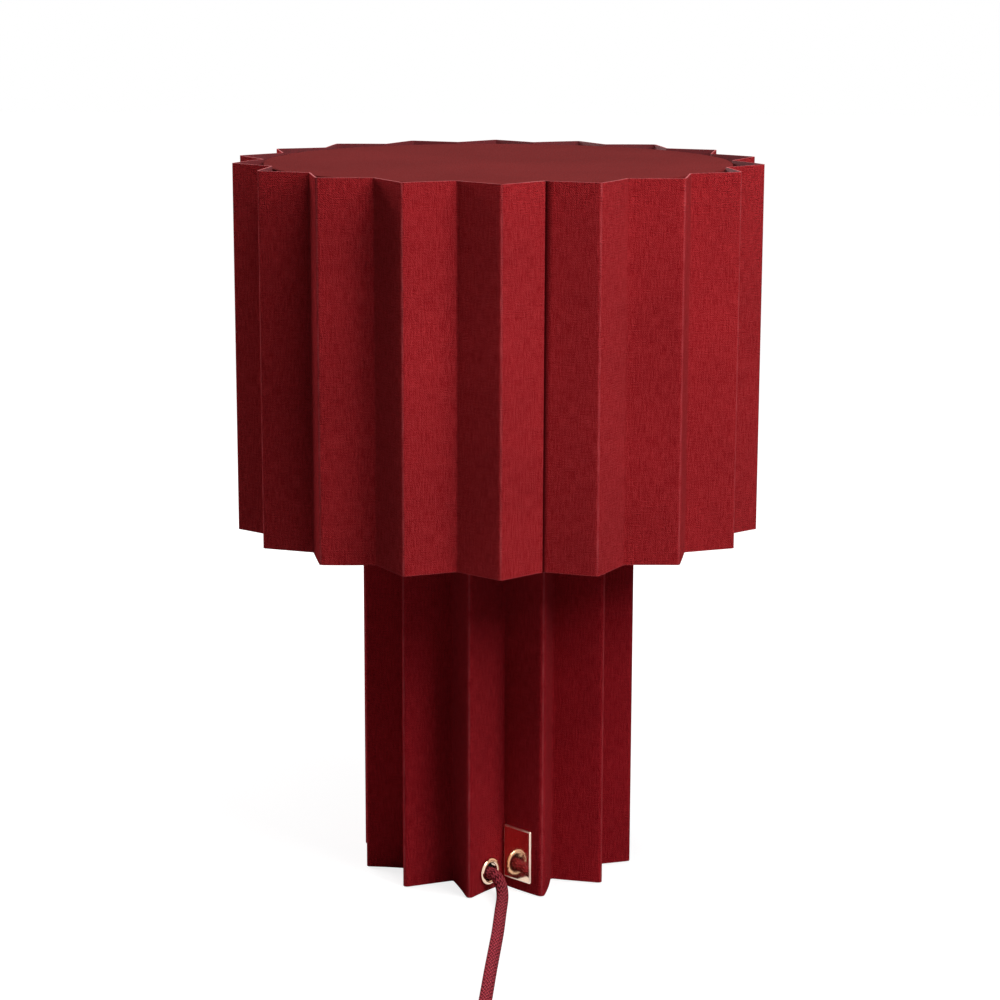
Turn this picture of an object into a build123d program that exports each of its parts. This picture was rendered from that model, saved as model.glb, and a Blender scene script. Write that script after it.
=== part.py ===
# A table lamp of folded book cloth: a wide pleated shade that stands loose on a pleated column.
# Millimetres, +Z up. The origin is on the floor under the middle of the column.
# An azimuth is counted from -Y, where the cord leaves, towards +X.

from build123d import *
from math import cos, pi, radians, sin, tan
import os

# Folded sheet: book cloth glued on card, the same in the shade and the column
SHEET = 0.8
FOLD_RADIUS = 1.2
SEAM_GAP = 1.4
SEAM_LAP = 12.0
GLUE_GAP = 0.1
COVER_CLOTH = 0.4
BOARD_RECESS = 1.0

# Column
COLUMN_PLEATS = 12
COLUMN_RIDGE_RADIUS = 74.7
COLUMN_PLEAT_DEPTH = 23.7
COLUMN_TURN = -10.8
COLUMN_HEIGHT = 191.0
COLUMN_BOARD = 5.0

# Shade
SHADE_PLEATS = 18
SHADE_RIDGE_RADIUS = 136.0
SHADE_PLEAT_DEPTH = 16.0
SHADE_TURN = 1.05
SHADE_HEIGHT = 187.4
SHADE_OVERLAP = 7.8
SHADE_BOARD = 2.4

# Foot
PAD_RADIUS = 46.0
PAD_THICKNESS = 2.0
PAD_PROUD = 0.6
WEIGHT_THICKNESS = 10.0
WEIGHT_CHAMFER = 0.8

# Cord, its eyelet and the plate beside it
CORD_RADIUS = 3.1
CORD_SLACK = 0.1
CORD_GRIP = 3.0
CORD_SAG = 1.0
EYELET_FROM_VALLEY = 11.2
EYELET_HEIGHT = 10.4
EYELET_RADIUS = 7.1
EYELET_HOLE_RADIUS = 4.7
EYELET_BARREL = 0.5
EYELET_BEAD = 1.3
EYELET_CURL = 1.4
EYELET_WASHER = 0.5
EYELET_SLACK = 0.1
PLATE_WIDTH = 19.0
PLATE_HEIGHT = 28.3
PLATE_THICKNESS = 1.2
PLATE_EASE = 0.3
PLATE_FROM_VALLEY = 1.3
PLATE_LIFT = 5.2

# Lead inside the column and its saddle clamp
LEAD_AZIMUTH = -14.5
LEAD_SLOT_WIDTH = 15.0
LEAD_SLOT_END = 40.0
CLAMP_AT = 24.0
CLAMP_LENGTH = 8.0
CLAMP_WALL = 1.6
CLAMP_EAR = 7.0
CLAMP_SCREW_RADIUS = 1.5
CLAMP_SCREW_DEPTH = 5.0
SCREW_SLACK = 0.1

# Threaded nipple, its nut and its washer
NIPPLE_RADIUS = 5.0
NIPPLE_BORE_RADIUS = 3.75
NIPPLE_END = 3.0
NIPPLE_IN_HOLDER = 8.0
NUT_ACROSS_FLATS = 14.0
NUT_THICKNESS = 3.5
WASHER_RADIUS = 12.0
WASHER_THICKNESS = 1.5
THREAD_SLACK = 0.1

# Gallery cup, slip ring and the wire frame of the shade
GALLERY_WALL = 1.0
GALLERY_FLOOR_RADIUS = 19.0
GALLERY_CUP_RADIUS = 37.4
GALLERY_RIM_RADIUS = 44.0
GALLERY_CONE = 4.0
GALLERY_HEIGHT = 11.5
SLIP_RING_THICKNESS = 1.0
FITTER_PLATE = 1.2
FITTER_LIP = 6.0
FITTER_SLACK = 0.5
WIRE_RADIUS = 1.5
WELD_DEPTH = 0.3
ARM_COUNT = 3
ARM_AZIMUTH = 60.0
ARM_START = 39.0

# Lamp holder
HOLDER_RADIUS = 20.0
HOLDER_WALL = 1.6
HOLDER_LEDGE = 1.5
HOLDER_BOSS_RADIUS = 9.0
HOLDER_BOSS_HEIGHT = 3.0
HOLDER_SHOULDER = 9.0
HOLDER_CAP_HEIGHT = 14.0
HOLDER_HEIGHT = 52.0
HOLDER_MOUTH_RADIUS = 15.0
HOLDER_MOUTH_LIP = 2.5
INSERT_BELOW = 4.0
INSERT_ABOVE = 8.0
SHELL_BORE_RADIUS = 13.5
SHELL_WALL = 0.4
SHELL_HEIGHT = 27.0
CONTACT_LENGTH = 10.0
CONTACT_WIDTH = 5.0
CONTACT_STRIP = 0.5
CONTACT_RISE = 3.0

# Bulb
BULB_GAP = 0.4
BULB_LENGTH = 108.0
BULB_RADIUS = 30.0
BULB_FLARE = 35.0
NECK_RADIUS = 12.5
NECK_IN_CAP = 8.0
GLASS_WALL = 1.0
CAP_RADIUS = 13.1
CAP_WALL = 0.5
CAP_CONE_RADIUS = 9.0
CAP_CONE_HEIGHT = 3.2
CAP_HEIGHT = 20.5
TIP_RADIUS = 4.5
TIP_HEIGHT = 1.2
INSULATOR_HEIGHT = 2.4

# Switch in the cord, lying along -Y
SWITCH_X = -5.0
SWITCH_Y = -290.0
SWITCH_LENGTH = 62.0
SWITCH_WIDTH = 27.0
SWITCH_LOWER = 8.5
SWITCH_UPPER = 9.0
SWITCH_WALL = 1.8
SWITCH_EDGE = 2.0
NECK_LENGTH = 6.0
NECK_WIDTH = 11.0
BOSS_RADIUS = 3.0
BOSS_ALONG = 20.0
BOSS_ACROSS = 7.6
SWITCH_SCREW_RADIUS = 1.4
SWITCH_SCREW_HEAD = 2.5
SWITCH_SCREW_LENGTH = 9.5
SWITCH_SCREW_RECESS = 1.9
ROCKER_REACH = 8.8
ROCKER_WIDTH = 10.0
ROCKER_CREST = 4.2
ROCKER_KEEL = 2.6
ROCKER_TILT = 8.0
ROCKER_DROP = 3.2
ROCKER_GAP = 0.4
PIN_RADIUS = 1.0
PIN_SLACK = 0.05
LUG_THICKNESS = 2.0
LUG_WIDTH = 5.0
LUG_DROP = 2.2
BLADE_AT = 9.0
BLADE_FOOT = 7.0
BLADE_WIDTH = 6.0
BLADE_HEIGHT = 8.8
BLADE_THICKNESS = 0.8

# Two-pin plug, lying flat with its pins towards -X
PLUG_X = 34.0
PLUG_Y = -260.0
PLUG_WIDTH = 35.3
PLUG_HEIGHT = 13.7
PLUG_LENGTH = 34.0
PLUG_WAIST_AT = 16.0
PLUG_WAIST_WIDTH = 29.0
PLUG_WAIST_HEIGHT = 12.6
PLUG_TAIL_WIDTH = 14.0
PLUG_TAIL_HEIGHT = 11.0
PLUG_CORNER = 5.0
SLEEVE_LENGTH = 22.0
SLEEVE_START_RADIUS = 5.2
SLEEVE_END_RADIUS = 4.1
PRONG_RADIUS = 2.0
PRONG_NECK_RADIUS = 1.5
PRONG_LENGTH = 19.0
PRONG_SPACING = 18.6
PRONG_ROOT = 8.0
PRONG_SLEEVE_LENGTH = 10.0
PRONG_SLEEVE_RADIUS = 1.9

# Coil of put-away cord: five and a quarter turns, three side by side in two layers
COIL_X = 85.0
COIL_Y = -333.0
COIL_RADIUS = 37.0
COIL_ACROSS = 3
COIL_LAYERS = 2

# Heights that follow from the sizes above
CORD_FLOOR = CORD_RADIUS
WEIGHT_TOP = PAD_THICKNESS + WEIGHT_THICKNESS
LEAD_ON_PLATE = WEIGHT_TOP + CORD_RADIUS + CORD_SLACK
COLUMN_TOP = PAD_PROUD + COLUMN_HEIGHT
COLUMN_CLOTH_TOP = COLUMN_TOP - BOARD_RECESS
COLUMN_BOARD_TOP = COLUMN_CLOTH_TOP - COVER_CLOTH
COLUMN_BOARD_BOTTOM = COLUMN_BOARD_TOP - COLUMN_BOARD
EYELET_AT = PAD_PROUD + EYELET_HEIGHT
HOLDER_BOTTOM = COLUMN_CLOTH_TOP + GALLERY_WALL
SEAT_TOP = COLUMN_CLOTH_TOP + GALLERY_HEIGHT
FITTER_BOTTOM = SEAT_TOP + SLIP_RING_THICKNESS
FITTER_TOP = FITTER_BOTTOM + FITTER_PLATE
WIRE_AT = FITTER_TOP + WIRE_RADIUS - WELD_DEPTH
SHADE_BOTTOM = COLUMN_TOP - SHADE_OVERLAP
SHADE_TOP = SHADE_BOTTOM + SHADE_HEIGHT
SHADE_CLOTH_TOP = SHADE_TOP - BOARD_RECESS
SHADE_BOARD_TOP = SHADE_CLOTH_TOP - COVER_CLOTH
INSERT_BOTTOM = HOLDER_BOTTOM + HOLDER_CAP_HEIGHT - INSERT_BELOW
INSERT_TOP = HOLDER_BOTTOM + HOLDER_CAP_HEIGHT + INSERT_ABOVE
BULB_BOTTOM = INSERT_TOP + CONTACT_RISE + CONTACT_STRIP + BULB_GAP
CUP_MOUTH_RADIUS = GALLERY_CUP_RADIUS - GALLERY_WALL
LIP_RADIUS = CUP_MOUTH_RADIUS - FITTER_SLACK
PIVOT_HEIGHT = SWITCH_LOWER + SWITCH_UPPER - ROCKER_DROP
PLUG_AXIS_HEIGHT = PLUG_HEIGHT / 2

# The cord's route after its first run out of the eyelet, over the floor and up into the switch
FRONT_ROUTE = [
    (1.3, -64.2, 8.7),
    (2.9, -68.3, 6.6),
    (3.6, -73.8, 4.6),
    (3.6, -81.2, 3.4),
    (3.0, -91.0, CORD_FLOOR),
    (2.4, -105.0, CORD_FLOOR),
    (1.6, -124.0, CORD_FLOOR),
    (0.4, -143.0, CORD_FLOOR),
    (-0.8, -161.5, CORD_FLOOR),
    (-1.9, -179.0, CORD_FLOOR),
    (-2.8, -195.0, CORD_FLOOR),
    (-3.6, -209.0, CORD_FLOOR),
    (-4.4, -222.0, 3.9),
    (-5.0, -234.0, 6.9),
    (SWITCH_X, -245.0, SWITCH_LOWER),
]
# From the switch to the bottom turn of the coil
LINK_ROUTE = [
    (SWITCH_X, -335.0, SWITCH_LOWER),
    (-3.2, -347.5, 7.0),
    (2.5, -358.8, 4.6),
    (11.5, -367.5, 3.3),
    (23.5, -373.5, CORD_FLOOR),
    (37.5, -376.0, CORD_FLOOR),
    (53.0, -376.8, CORD_FLOOR),
    (67.0, -376.4, CORD_FLOOR),
]
# From the top turn of the coil to the plug
TAIL_ROUTE = [
    (128.7, -323.0, 9.3),
    (128.8, -313.0, 8.8),
    (128.6, -300.5, 6.9),
    (127.2, -286.0, 5.2),
    (121.4, -273.9, 5.2),
    (111.5, -264.9, 6.0),
    (99.5, PLUG_Y, PLUG_AXIS_HEIGHT),
]
# From the eyelet through the clamp and up the middle of the column
INNER_ROUTE = [
    (-12.2, -46.2, 11.6),
    (-10.0, -38.9, 13.9),
    (-8.5, -32.8, LEAD_ON_PLATE),
    (-3.5, -13.6, LEAD_ON_PLATE),
    (-1.7, -5.5, 22.0),
    (-0.6, -0.6, 36.0),
    (0.9, 1.2, 60.0),
    (1.8, 1.0, 97.0),
    (0.8, 0.2, 133.0),
    (0.0, 0.0, 167.0),
]
EXIT_RUN = 2.8
ENTRY_RUN = 8.5


def around(radius, azimuth, height=0.0):
    """A point at a radius, an azimuth and a height."""
    angle = radians(azimuth)
    return Vector(radius * sin(angle), -radius * cos(angle), height)


def save(piece, node):
    """Labels a finished piece and writes it to its own file."""
    piece.part.label = node
    export_step(piece.part, f"parts/{node}.step")


def fold_corners(ridge_radius, depth, pleats, turn):
    """The corners of a zigzag ring, ridge and valley by turns, on the outer face of the sheet."""
    corners = []
    for pleat in range(pleats):
        azimuth = turn + pleat * 360 / pleats
        corners.append(around(ridge_radius, azimuth))
        corners.append(around(ridge_radius - depth, azimuth + 180 / pleats))
    return corners


def shifted_corner(before, corner, after, inset_before, inset_after):
    """Where two panels meet again, once each is moved inwards by its own inset."""
    run_in = (corner - before).normalized()
    run_out = (after - corner).normalized()
    turn = run_in.cross(run_out).Z
    return corner + (run_out * inset_before - run_in * inset_after) / turn


def inner_reach(corners):
    """How near to the axis the rounded inside of a valley fold comes."""
    ridge, valley, next_ridge = corners[:3]
    sharp = shifted_corner(ridge, valley, next_ridge, SHEET, SHEET)
    half_fold = radians((ridge - valley).get_angle(valley))
    return sharp.length + (FOLD_RADIUS + SHEET) * (1 / sin(half_fold) - 1)


def pleated_wall(corners, seam, bottom, height):
    """A ring of folded sheet. At the seam's valley one end stops short and laps over the other,
    and the double sheet pushes that fold out, so that its inside lines up with the other folds."""
    outer, outer_bends, inner, inner_bends = [], [], [], []
    tight, wide = FOLD_RADIUS, FOLD_RADIUS + SHEET
    corners = list(corners)
    valley = corners[seam]
    half_fold = radians((corners[seam - 1] - valley).get_angle(valley))
    corners[seam] = valley + valley.normalized() * (SHEET / (2 * sin(half_fold)))
    for place, corner in enumerate(corners):
        before = corners[place - 1]
        after = corners[(place + 1) % len(corners)]
        if place == seam:
            run = (corner - before).normalized()
            inward = Vector(-run.Y, run.X)
            cut_edge = corner - run * SEAM_GAP
            tab_edge = corner - run * SEAM_LAP
            outer += [cut_edge, cut_edge + inward * SHEET]
            outer.append(shifted_corner(before, corner, after, SHEET, 0))
            outer_bends += [0, 0, tight]
            inner += [tab_edge + inward * SHEET, tab_edge + inward * 2 * SHEET]
            inner.append(shifted_corner(before, corner, after, 2 * SHEET, SHEET))
            inner_bends += [0, 0, wide]
        else:
            is_ridge = place % 2 == 0
            outer.append(corner)
            outer_bends.append(wide if is_ridge else tight)
            inner.append(shifted_corner(before, corner, after, SHEET, SHEET))
            inner_bends.append(tight if is_ridge else wide)
    with BuildPart() as wall:
        with BuildSketch(Plane.XY.offset(bottom)):
            with BuildLine():
                FilletPolyline(*outer, radius=outer_bends, close=True)
            make_face()
        extrude(amount=height)
        with BuildSketch(Plane.XY.offset(bottom)):
            with BuildLine():
                FilletPolyline(*inner, radius=inner_bends, close=True)
            make_face()
        extrude(amount=height, mode=Mode.SUBTRACT)
    return wall


def panel_plane(start, end, along, height):
    """A plane on a panel's outer face: x runs from start to end, y is down and z points out."""
    run = (end - start).normalized()
    origin = start + run * along
    return Plane(
        origin=(origin.X, origin.Y, height),
        x_dir=(run.X, run.Y, 0),
        z_dir=(run.Y, -run.X, 0),
    )


def disc(radius, bottom, thickness, hole=0.0):
    """A flat round plate, with a round hole in its middle where one is wanted."""
    with BuildPart() as plate:
        with BuildSketch(Plane.XY.offset(bottom)):
            Circle(radius)
            if hole > 0:
                Circle(hole, mode=Mode.SUBTRACT)
        extrude(amount=thickness)
    return plate


def screws(plane, points, shank, length, head, head_height):
    """Cross-headed screws, with their heads on the plane and their shanks under it."""
    outward = Axis(plane.origin, plane.z_dir)
    with BuildPart() as group:
        with BuildSketch(plane):
            with Locations(*points):
                Circle(head)
        extrude(amount=head_height)
        rims = group.edges().filter_by(GeomType.CIRCLE).group_by(outward)[-1]
        fillet(rims, head_height / 3)
        with BuildSketch(plane):
            with Locations(*points):
                Circle(shank)
        extrude(amount=-length)
        with BuildSketch(plane.offset(head_height)):
            with Locations(*points):
                Rectangle(head, head / 4)
                Rectangle(head / 4, head)
        extrude(amount=-head_height / 2, mode=Mode.SUBTRACT)
    return group


def cord_tube(node, points):
    """A tube of cord along straight runs and tangent arcs. Prints its bends and its volume."""
    points = [Vector(point) for point in points]
    bends = []
    for before, corner, after in zip(points, points[1:], points[2:]):
        shorter = min((corner - before).length, (after - corner).length)
        half_turn = radians((corner - before).get_angle(after - corner)) / 2
        bends.append(0.45 * shorter / tan(half_turn))
    with BuildPart() as tube:
        with BuildLine() as route:
            FilletPolyline(*points, radius=bends)
        with BuildSketch(Plane(origin=points[0], z_dir=points[1] - points[0])):
            Circle(CORD_RADIUS)
        sweep(path=route.wire())
    length = route.wire().length
    share = tube.part.volume / (pi * CORD_RADIUS**2 * length)
    print(node, "length", round(length, 1), "volume share", round(share, 4))
    print("  bend radii", [round(bend) for bend in bends])
    save(tube, node)


os.makedirs("parts", exist_ok=True)

column_corners = fold_corners(
    COLUMN_RIDGE_RADIUS, COLUMN_PLEAT_DEPTH, COLUMN_PLEATS, COLUMN_TURN
)
shade_corners = fold_corners(SHADE_RIDGE_RADIUS, SHADE_PLEAT_DEPTH, SHADE_PLEATS, SHADE_TURN)
column_inside = inner_reach(column_corners) - GLUE_GAP
shade_inside = inner_reach(shade_corners) - GLUE_GAP
left_ridge, cord_valley, right_ridge = column_corners[:3]
column_panel = (cord_valley - left_ridge).length
print("panel widths", round(column_panel, 2), round((shade_corners[1] - shade_corners[0]).length, 2))

# Foot: felt pad and steel weight, with an open slot that lets the lead in
save(disc(PAD_RADIUS, 0, PAD_THICKNESS), "felt_pad")

lead_plane = Plane(
    origin=(0, 0, PAD_THICKNESS), x_dir=around(1, LEAD_AZIMUTH), z_dir=(0, 0, 1)
)
clamp_plane = Plane(
    origin=around(CLAMP_AT, LEAD_AZIMUTH, WEIGHT_TOP),
    x_dir=around(1, LEAD_AZIMUTH + 90),
    z_dir=(0, 0, 1),
)
ear_at = CORD_RADIUS + CLAMP_WALL + CLAMP_EAR / 2
ear_holes = [(-ear_at, 0), (ear_at, 0)]

with BuildPart() as weight_plate:
    with BuildSketch(lead_plane):
        Circle(column_inside)
    extrude(amount=WEIGHT_THICKNESS)
    chamfer(weight_plate.edges().filter_by(GeomType.CIRCLE), WEIGHT_CHAMFER)
    with BuildSketch(lead_plane):
        with Locations(((LEAD_SLOT_END + column_inside) / 2, 0)):
            Rectangle(column_inside - LEAD_SLOT_END, LEAD_SLOT_WIDTH)
        with Locations((LEAD_SLOT_END, 0)):
            Circle(LEAD_SLOT_WIDTH / 2)
    extrude(amount=WEIGHT_THICKNESS, mode=Mode.SUBTRACT)
    with Locations(clamp_plane):
        with Locations(*ear_holes):
            Hole(CLAMP_SCREW_RADIUS + SCREW_SLACK, depth=CLAMP_SCREW_DEPTH)
save(weight_plate, "weight_plate")

# Column wall, with the hole for the eyelet
eyelet_face = panel_plane(
    left_ridge, cord_valley, column_panel - EYELET_FROM_VALLEY, EYELET_AT
)
barrel_radius = EYELET_HOLE_RADIUS + EYELET_BARREL
column_seam = 2 * (COLUMN_PLEATS // 2) + 1

with BuildPart() as column_pleats:
    add(pleated_wall(column_corners, column_seam, PAD_PROUD, COLUMN_HEIGHT))
    with BuildSketch(eyelet_face):
        Circle(barrel_radius + EYELET_SLACK)
    extrude(amount=-2 * SHEET, mode=Mode.SUBTRACT)
save(column_pleats, "column_pleats")

nipple_hole = NIPPLE_RADIUS + THREAD_SLACK
save(disc(column_inside, COLUMN_BOARD_BOTTOM, COLUMN_BOARD, nipple_hole), "column_top_board")
save(disc(column_inside, COLUMN_BOARD_TOP, COVER_CLOTH, nipple_hole), "column_top_cloth")

# Brass eyelet: a beaded flange outside, a barrel through the sheet, and an end curled on a washer
eyelet_section = Plane(origin=eyelet_face.origin, x_dir=eyelet_face.x_dir, z_dir=(0, 0, -1))
washer_inside = -SHEET - EYELET_WASHER
barrel_end = washer_inside - EYELET_BARREL
bead_middle = (EYELET_HOLE_RADIUS + EYELET_RADIUS) / 2

with BuildPart() as cord_eyelet:
    with BuildSketch(eyelet_section):
        with BuildLine():
            bead = ThreePointArc(
                (EYELET_HOLE_RADIUS, EYELET_BEAD / 3),
                (bead_middle, EYELET_BEAD),
                (EYELET_RADIUS, 0),
            )
            Polyline(
                bead @ 1,
                (barrel_radius, 0),
                (barrel_radius, washer_inside),
                (barrel_radius + EYELET_CURL, washer_inside),
                (barrel_radius + EYELET_CURL, barrel_end),
                (EYELET_HOLE_RADIUS, barrel_end),
                bead @ 0,
            )
        make_face()
    revolve(axis=Axis(eyelet_face.origin, eyelet_face.z_dir))
save(cord_eyelet, "cord_eyelet")

with BuildPart() as eyelet_washer:
    with BuildSketch(eyelet_face.offset(washer_inside)):
        Circle(EYELET_RADIUS)
        Circle(barrel_radius + EYELET_SLACK, mode=Mode.SUBTRACT)
    extrude(amount=EYELET_WASHER)
save(eyelet_washer, "eyelet_washer")

# Bare brass plate on the next panel
plate_face = panel_plane(
    cord_valley,
    right_ridge,
    PLATE_FROM_VALLEY + PLATE_WIDTH / 2,
    PAD_PROUD + PLATE_LIFT + PLATE_HEIGHT / 2,
)
with BuildPart() as brass_plate:
    with BuildSketch(plate_face):
        RectangleRounded(PLATE_WIDTH, PLATE_HEIGHT, PLATE_EASE)
    extrude(amount=PLATE_THICKNESS)
    front_edges = brass_plate.faces().sort_by(Axis(plate_face.origin, plate_face.z_dir))[-1].edges()
    chamfer(front_edges, PLATE_EASE / 2)
save(brass_plate, "brass_plate")

# Lead inside the column, held by a saddle clamp and two screws
exit_point = eyelet_face.origin - Vector(0, 0, CORD_SAG)
exit_way = eyelet_face.z_dir
lead_end = (0, 0, INSERT_BOTTOM)
cord_tube("inner_lead", [exit_point, exit_point - exit_way * ENTRY_RUN, *INNER_ROUTE, lead_end])

clamp_section = Plane(
    origin=around(CLAMP_AT - CLAMP_LENGTH / 2, LEAD_AZIMUTH, WEIGHT_TOP),
    x_dir=around(1, LEAD_AZIMUTH + 90),
    z_dir=around(1, LEAD_AZIMUTH),
)
saddle_radius = CORD_RADIUS + CORD_SLACK
ear_span = 2 * (CORD_RADIUS + CLAMP_WALL + CLAMP_EAR)
with BuildPart() as cord_clamp:
    with BuildSketch(clamp_section):
        with Locations((0, saddle_radius)):
            Circle(saddle_radius + CLAMP_WALL)
        Rectangle(ear_span, CLAMP_WALL, align=(Align.CENTER, Align.MIN))
        with Locations((0, saddle_radius)):
            Circle(saddle_radius, mode=Mode.SUBTRACT)
        Rectangle(
            2 * saddle_radius, saddle_radius, align=(Align.CENTER, Align.MIN), mode=Mode.SUBTRACT
        )
        Rectangle(ear_span, CLAMP_WALL * 2, align=(Align.CENTER, Align.MAX), mode=Mode.SUBTRACT)
    extrude(amount=CLAMP_LENGTH)
    with Locations(clamp_plane.offset(CLAMP_WALL)):
        with Locations(*ear_holes):
            Hole(CLAMP_SCREW_RADIUS + SCREW_SLACK, depth=2 * CLAMP_WALL)
save(cord_clamp, "cord_clamp")

clamp_screws = screws(
    clamp_plane.offset(CLAMP_WALL),
    ear_holes,
    CLAMP_SCREW_RADIUS,
    CLAMP_WALL + CLAMP_SCREW_DEPTH - SCREW_SLACK,
    CLAMP_EAR / 2 - SCREW_SLACK,
    CLAMP_WALL,
)
save(clamp_screws, "clamp_screws")

# Threaded nipple through the top board, with its washer and nut underneath
nut_bottom = COLUMN_BOARD_BOTTOM - WASHER_THICKNESS - NUT_THICKNESS
nipple_length = HOLDER_BOTTOM + NIPPLE_IN_HOLDER - nut_bottom + NIPPLE_END
save(disc(NIPPLE_RADIUS, nut_bottom - NIPPLE_END, nipple_length, NIPPLE_BORE_RADIUS), "nipple")
save(
    disc(WASHER_RADIUS, COLUMN_BOARD_BOTTOM - WASHER_THICKNESS, WASHER_THICKNESS, nipple_hole),
    "nipple_washer",
)
with BuildPart() as nipple_nut:
    with BuildSketch(Plane.XY.offset(nut_bottom)):
        RegularPolygon(NUT_ACROSS_FLATS / 2, 6, major_radius=False)
        Circle(nipple_hole, mode=Mode.SUBTRACT)
    extrude(amount=NUT_THICKNESS)
save(nipple_nut, "nipple_nut")

# Gallery: a pressed cup whose rim carries the shade
with BuildPart() as gallery_cup:
    with BuildSketch(Plane.XZ):
        with BuildLine():
            Polyline(
                (nipple_hole, COLUMN_CLOTH_TOP),
                (GALLERY_FLOOR_RADIUS, COLUMN_CLOTH_TOP),
                (GALLERY_CUP_RADIUS, COLUMN_CLOTH_TOP + GALLERY_CONE),
                (GALLERY_CUP_RADIUS, SEAT_TOP - GALLERY_WALL),
                (GALLERY_RIM_RADIUS, SEAT_TOP - GALLERY_WALL),
            )
            offset(amount=GALLERY_WALL, side=Side.LEFT, kind=Kind.INTERSECTION)
        make_face()
    revolve(axis=Axis.Z)
save(gallery_cup, "gallery_cup")

save(disc(GALLERY_RIM_RADIUS, SEAT_TOP, SLIP_RING_THICKNESS, CUP_MOUTH_RADIUS), "slip_ring")

# Welded wire frame of the shade: fitter with its down-turned lip, arms and hoop
fitter_bore = LIP_RADIUS - FITTER_PLATE
hoop_radius = shade_inside - WIRE_RADIUS
with BuildPart() as shade_frame:
    with BuildSketch(Plane.XY.offset(FITTER_BOTTOM)):
        Circle(GALLERY_RIM_RADIUS)
        Circle(fitter_bore, mode=Mode.SUBTRACT)
    extrude(amount=FITTER_PLATE)
    with BuildSketch(Plane.XY.offset(FITTER_BOTTOM)):
        Circle(LIP_RADIUS)
        Circle(fitter_bore, mode=Mode.SUBTRACT)
    extrude(amount=-FITTER_LIP)
    for arm in range(ARM_COUNT):
        azimuth = ARM_AZIMUTH + arm * 360 / ARM_COUNT
        with BuildSketch(Plane(origin=around(ARM_START, azimuth, WIRE_AT), z_dir=around(1, azimuth))):
            Circle(WIRE_RADIUS)
        extrude(amount=hoop_radius - ARM_START)
    with BuildSketch(Plane.XZ):
        with Locations((hoop_radius, WIRE_AT)):
            Circle(WIRE_RADIUS)
    revolve(axis=Axis.Z)
save(shade_frame, "shade_frame")

# Shade wall and its lid of board and cloth
save(pleated_wall(shade_corners, 1, SHADE_BOTTOM, SHADE_HEIGHT), "shade_pleats")
save(disc(shade_inside, SHADE_BOARD_TOP - SHADE_BOARD, SHADE_BOARD), "shade_top_board")
save(disc(shade_inside, SHADE_BOARD_TOP, COVER_CLOTH), "shade_top_cloth")

# Lamp holder: cap, insert with its brass shell and contact, and skirt
shoulder_at = HOLDER_BOTTOM + HOLDER_SHOULDER
rim_at = HOLDER_BOTTOM + HOLDER_CAP_HEIGHT
inner_wall = HOLDER_WALL + HOLDER_LEDGE
with BuildPart() as holder_cap:
    with BuildSketch(Plane.XZ):
        with BuildLine():
            bowl = EllipticalCenterArc(
                (HOLDER_BOSS_RADIUS, shoulder_at),
                HOLDER_RADIUS - HOLDER_BOSS_RADIUS,
                HOLDER_SHOULDER - HOLDER_BOSS_HEIGHT,
                start_angle=270,
                arc_size=90,
            )
            hollow = EllipticalCenterArc(
                (HOLDER_BOSS_RADIUS, shoulder_at),
                HOLDER_RADIUS - HOLDER_BOSS_RADIUS - inner_wall,
                HOLDER_SHOULDER - HOLDER_BOSS_HEIGHT - HOLDER_WALL,
                start_angle=270,
                arc_size=90,
            )
            Polyline(
                bowl @ 1,
                (HOLDER_RADIUS, rim_at),
                (HOLDER_RADIUS - HOLDER_WALL, rim_at),
                (HOLDER_RADIUS - HOLDER_WALL, INSERT_BOTTOM),
                (HOLDER_RADIUS - inner_wall, INSERT_BOTTOM),
                hollow @ 1,
            )
            Polyline(
                hollow @ 0,
                (nipple_hole, HOLDER_BOTTOM + HOLDER_BOSS_HEIGHT + HOLDER_WALL),
                (nipple_hole, HOLDER_BOTTOM),
                (HOLDER_BOSS_RADIUS, HOLDER_BOTTOM),
                bowl @ 0,
            )
        make_face()
    revolve(axis=Axis.Z)
save(holder_cap, "holder_cap")

insert_radius = HOLDER_RADIUS - HOLDER_WALL - GLUE_GAP
save(disc(insert_radius, INSERT_BOTTOM, INSERT_TOP - INSERT_BOTTOM), "holder_insert")

holder_top = HOLDER_BOTTOM + HOLDER_HEIGHT
with BuildPart() as holder_skirt:
    with BuildSketch(Plane.XZ):
        with BuildLine():
            Polyline(
                (HOLDER_RADIUS, rim_at),
                (HOLDER_RADIUS, holder_top),
                (HOLDER_MOUTH_RADIUS, holder_top),
                (HOLDER_MOUTH_RADIUS, holder_top - HOLDER_MOUTH_LIP),
                (HOLDER_RADIUS - HOLDER_WALL, holder_top - 2 * HOLDER_MOUTH_LIP),
                (HOLDER_RADIUS - HOLDER_WALL, rim_at),
                close=True,
            )
        make_face()
    revolve(axis=Axis.Z)
    rim_edges = holder_skirt.edges().filter_by(GeomType.CIRCLE).group_by(Axis.Z)[-1]
    fillet(rim_edges.sort_by(SortBy.RADIUS)[-1], HOLDER_WALL)
save(holder_skirt, "holder_skirt")

save(
    disc(SHELL_BORE_RADIUS + SHELL_WALL, INSERT_TOP, SHELL_HEIGHT, SHELL_BORE_RADIUS),
    "holder_shell",
)
with BuildPart() as holder_contact:
    with BuildSketch(Plane.XZ):
        with BuildLine():
            Polyline(
                (-CONTACT_LENGTH, INSERT_TOP),
                (-CONTACT_RISE, INSERT_TOP),
                (0, INSERT_TOP + CONTACT_RISE),
                (CONTACT_RISE, INSERT_TOP + CONTACT_RISE),
            )
            offset(amount=CONTACT_STRIP, side=Side.LEFT, kind=Kind.INTERSECTION)
        make_face()
    extrude(amount=CONTACT_WIDTH / 2, both=True)
save(holder_contact, "holder_contact")

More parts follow.
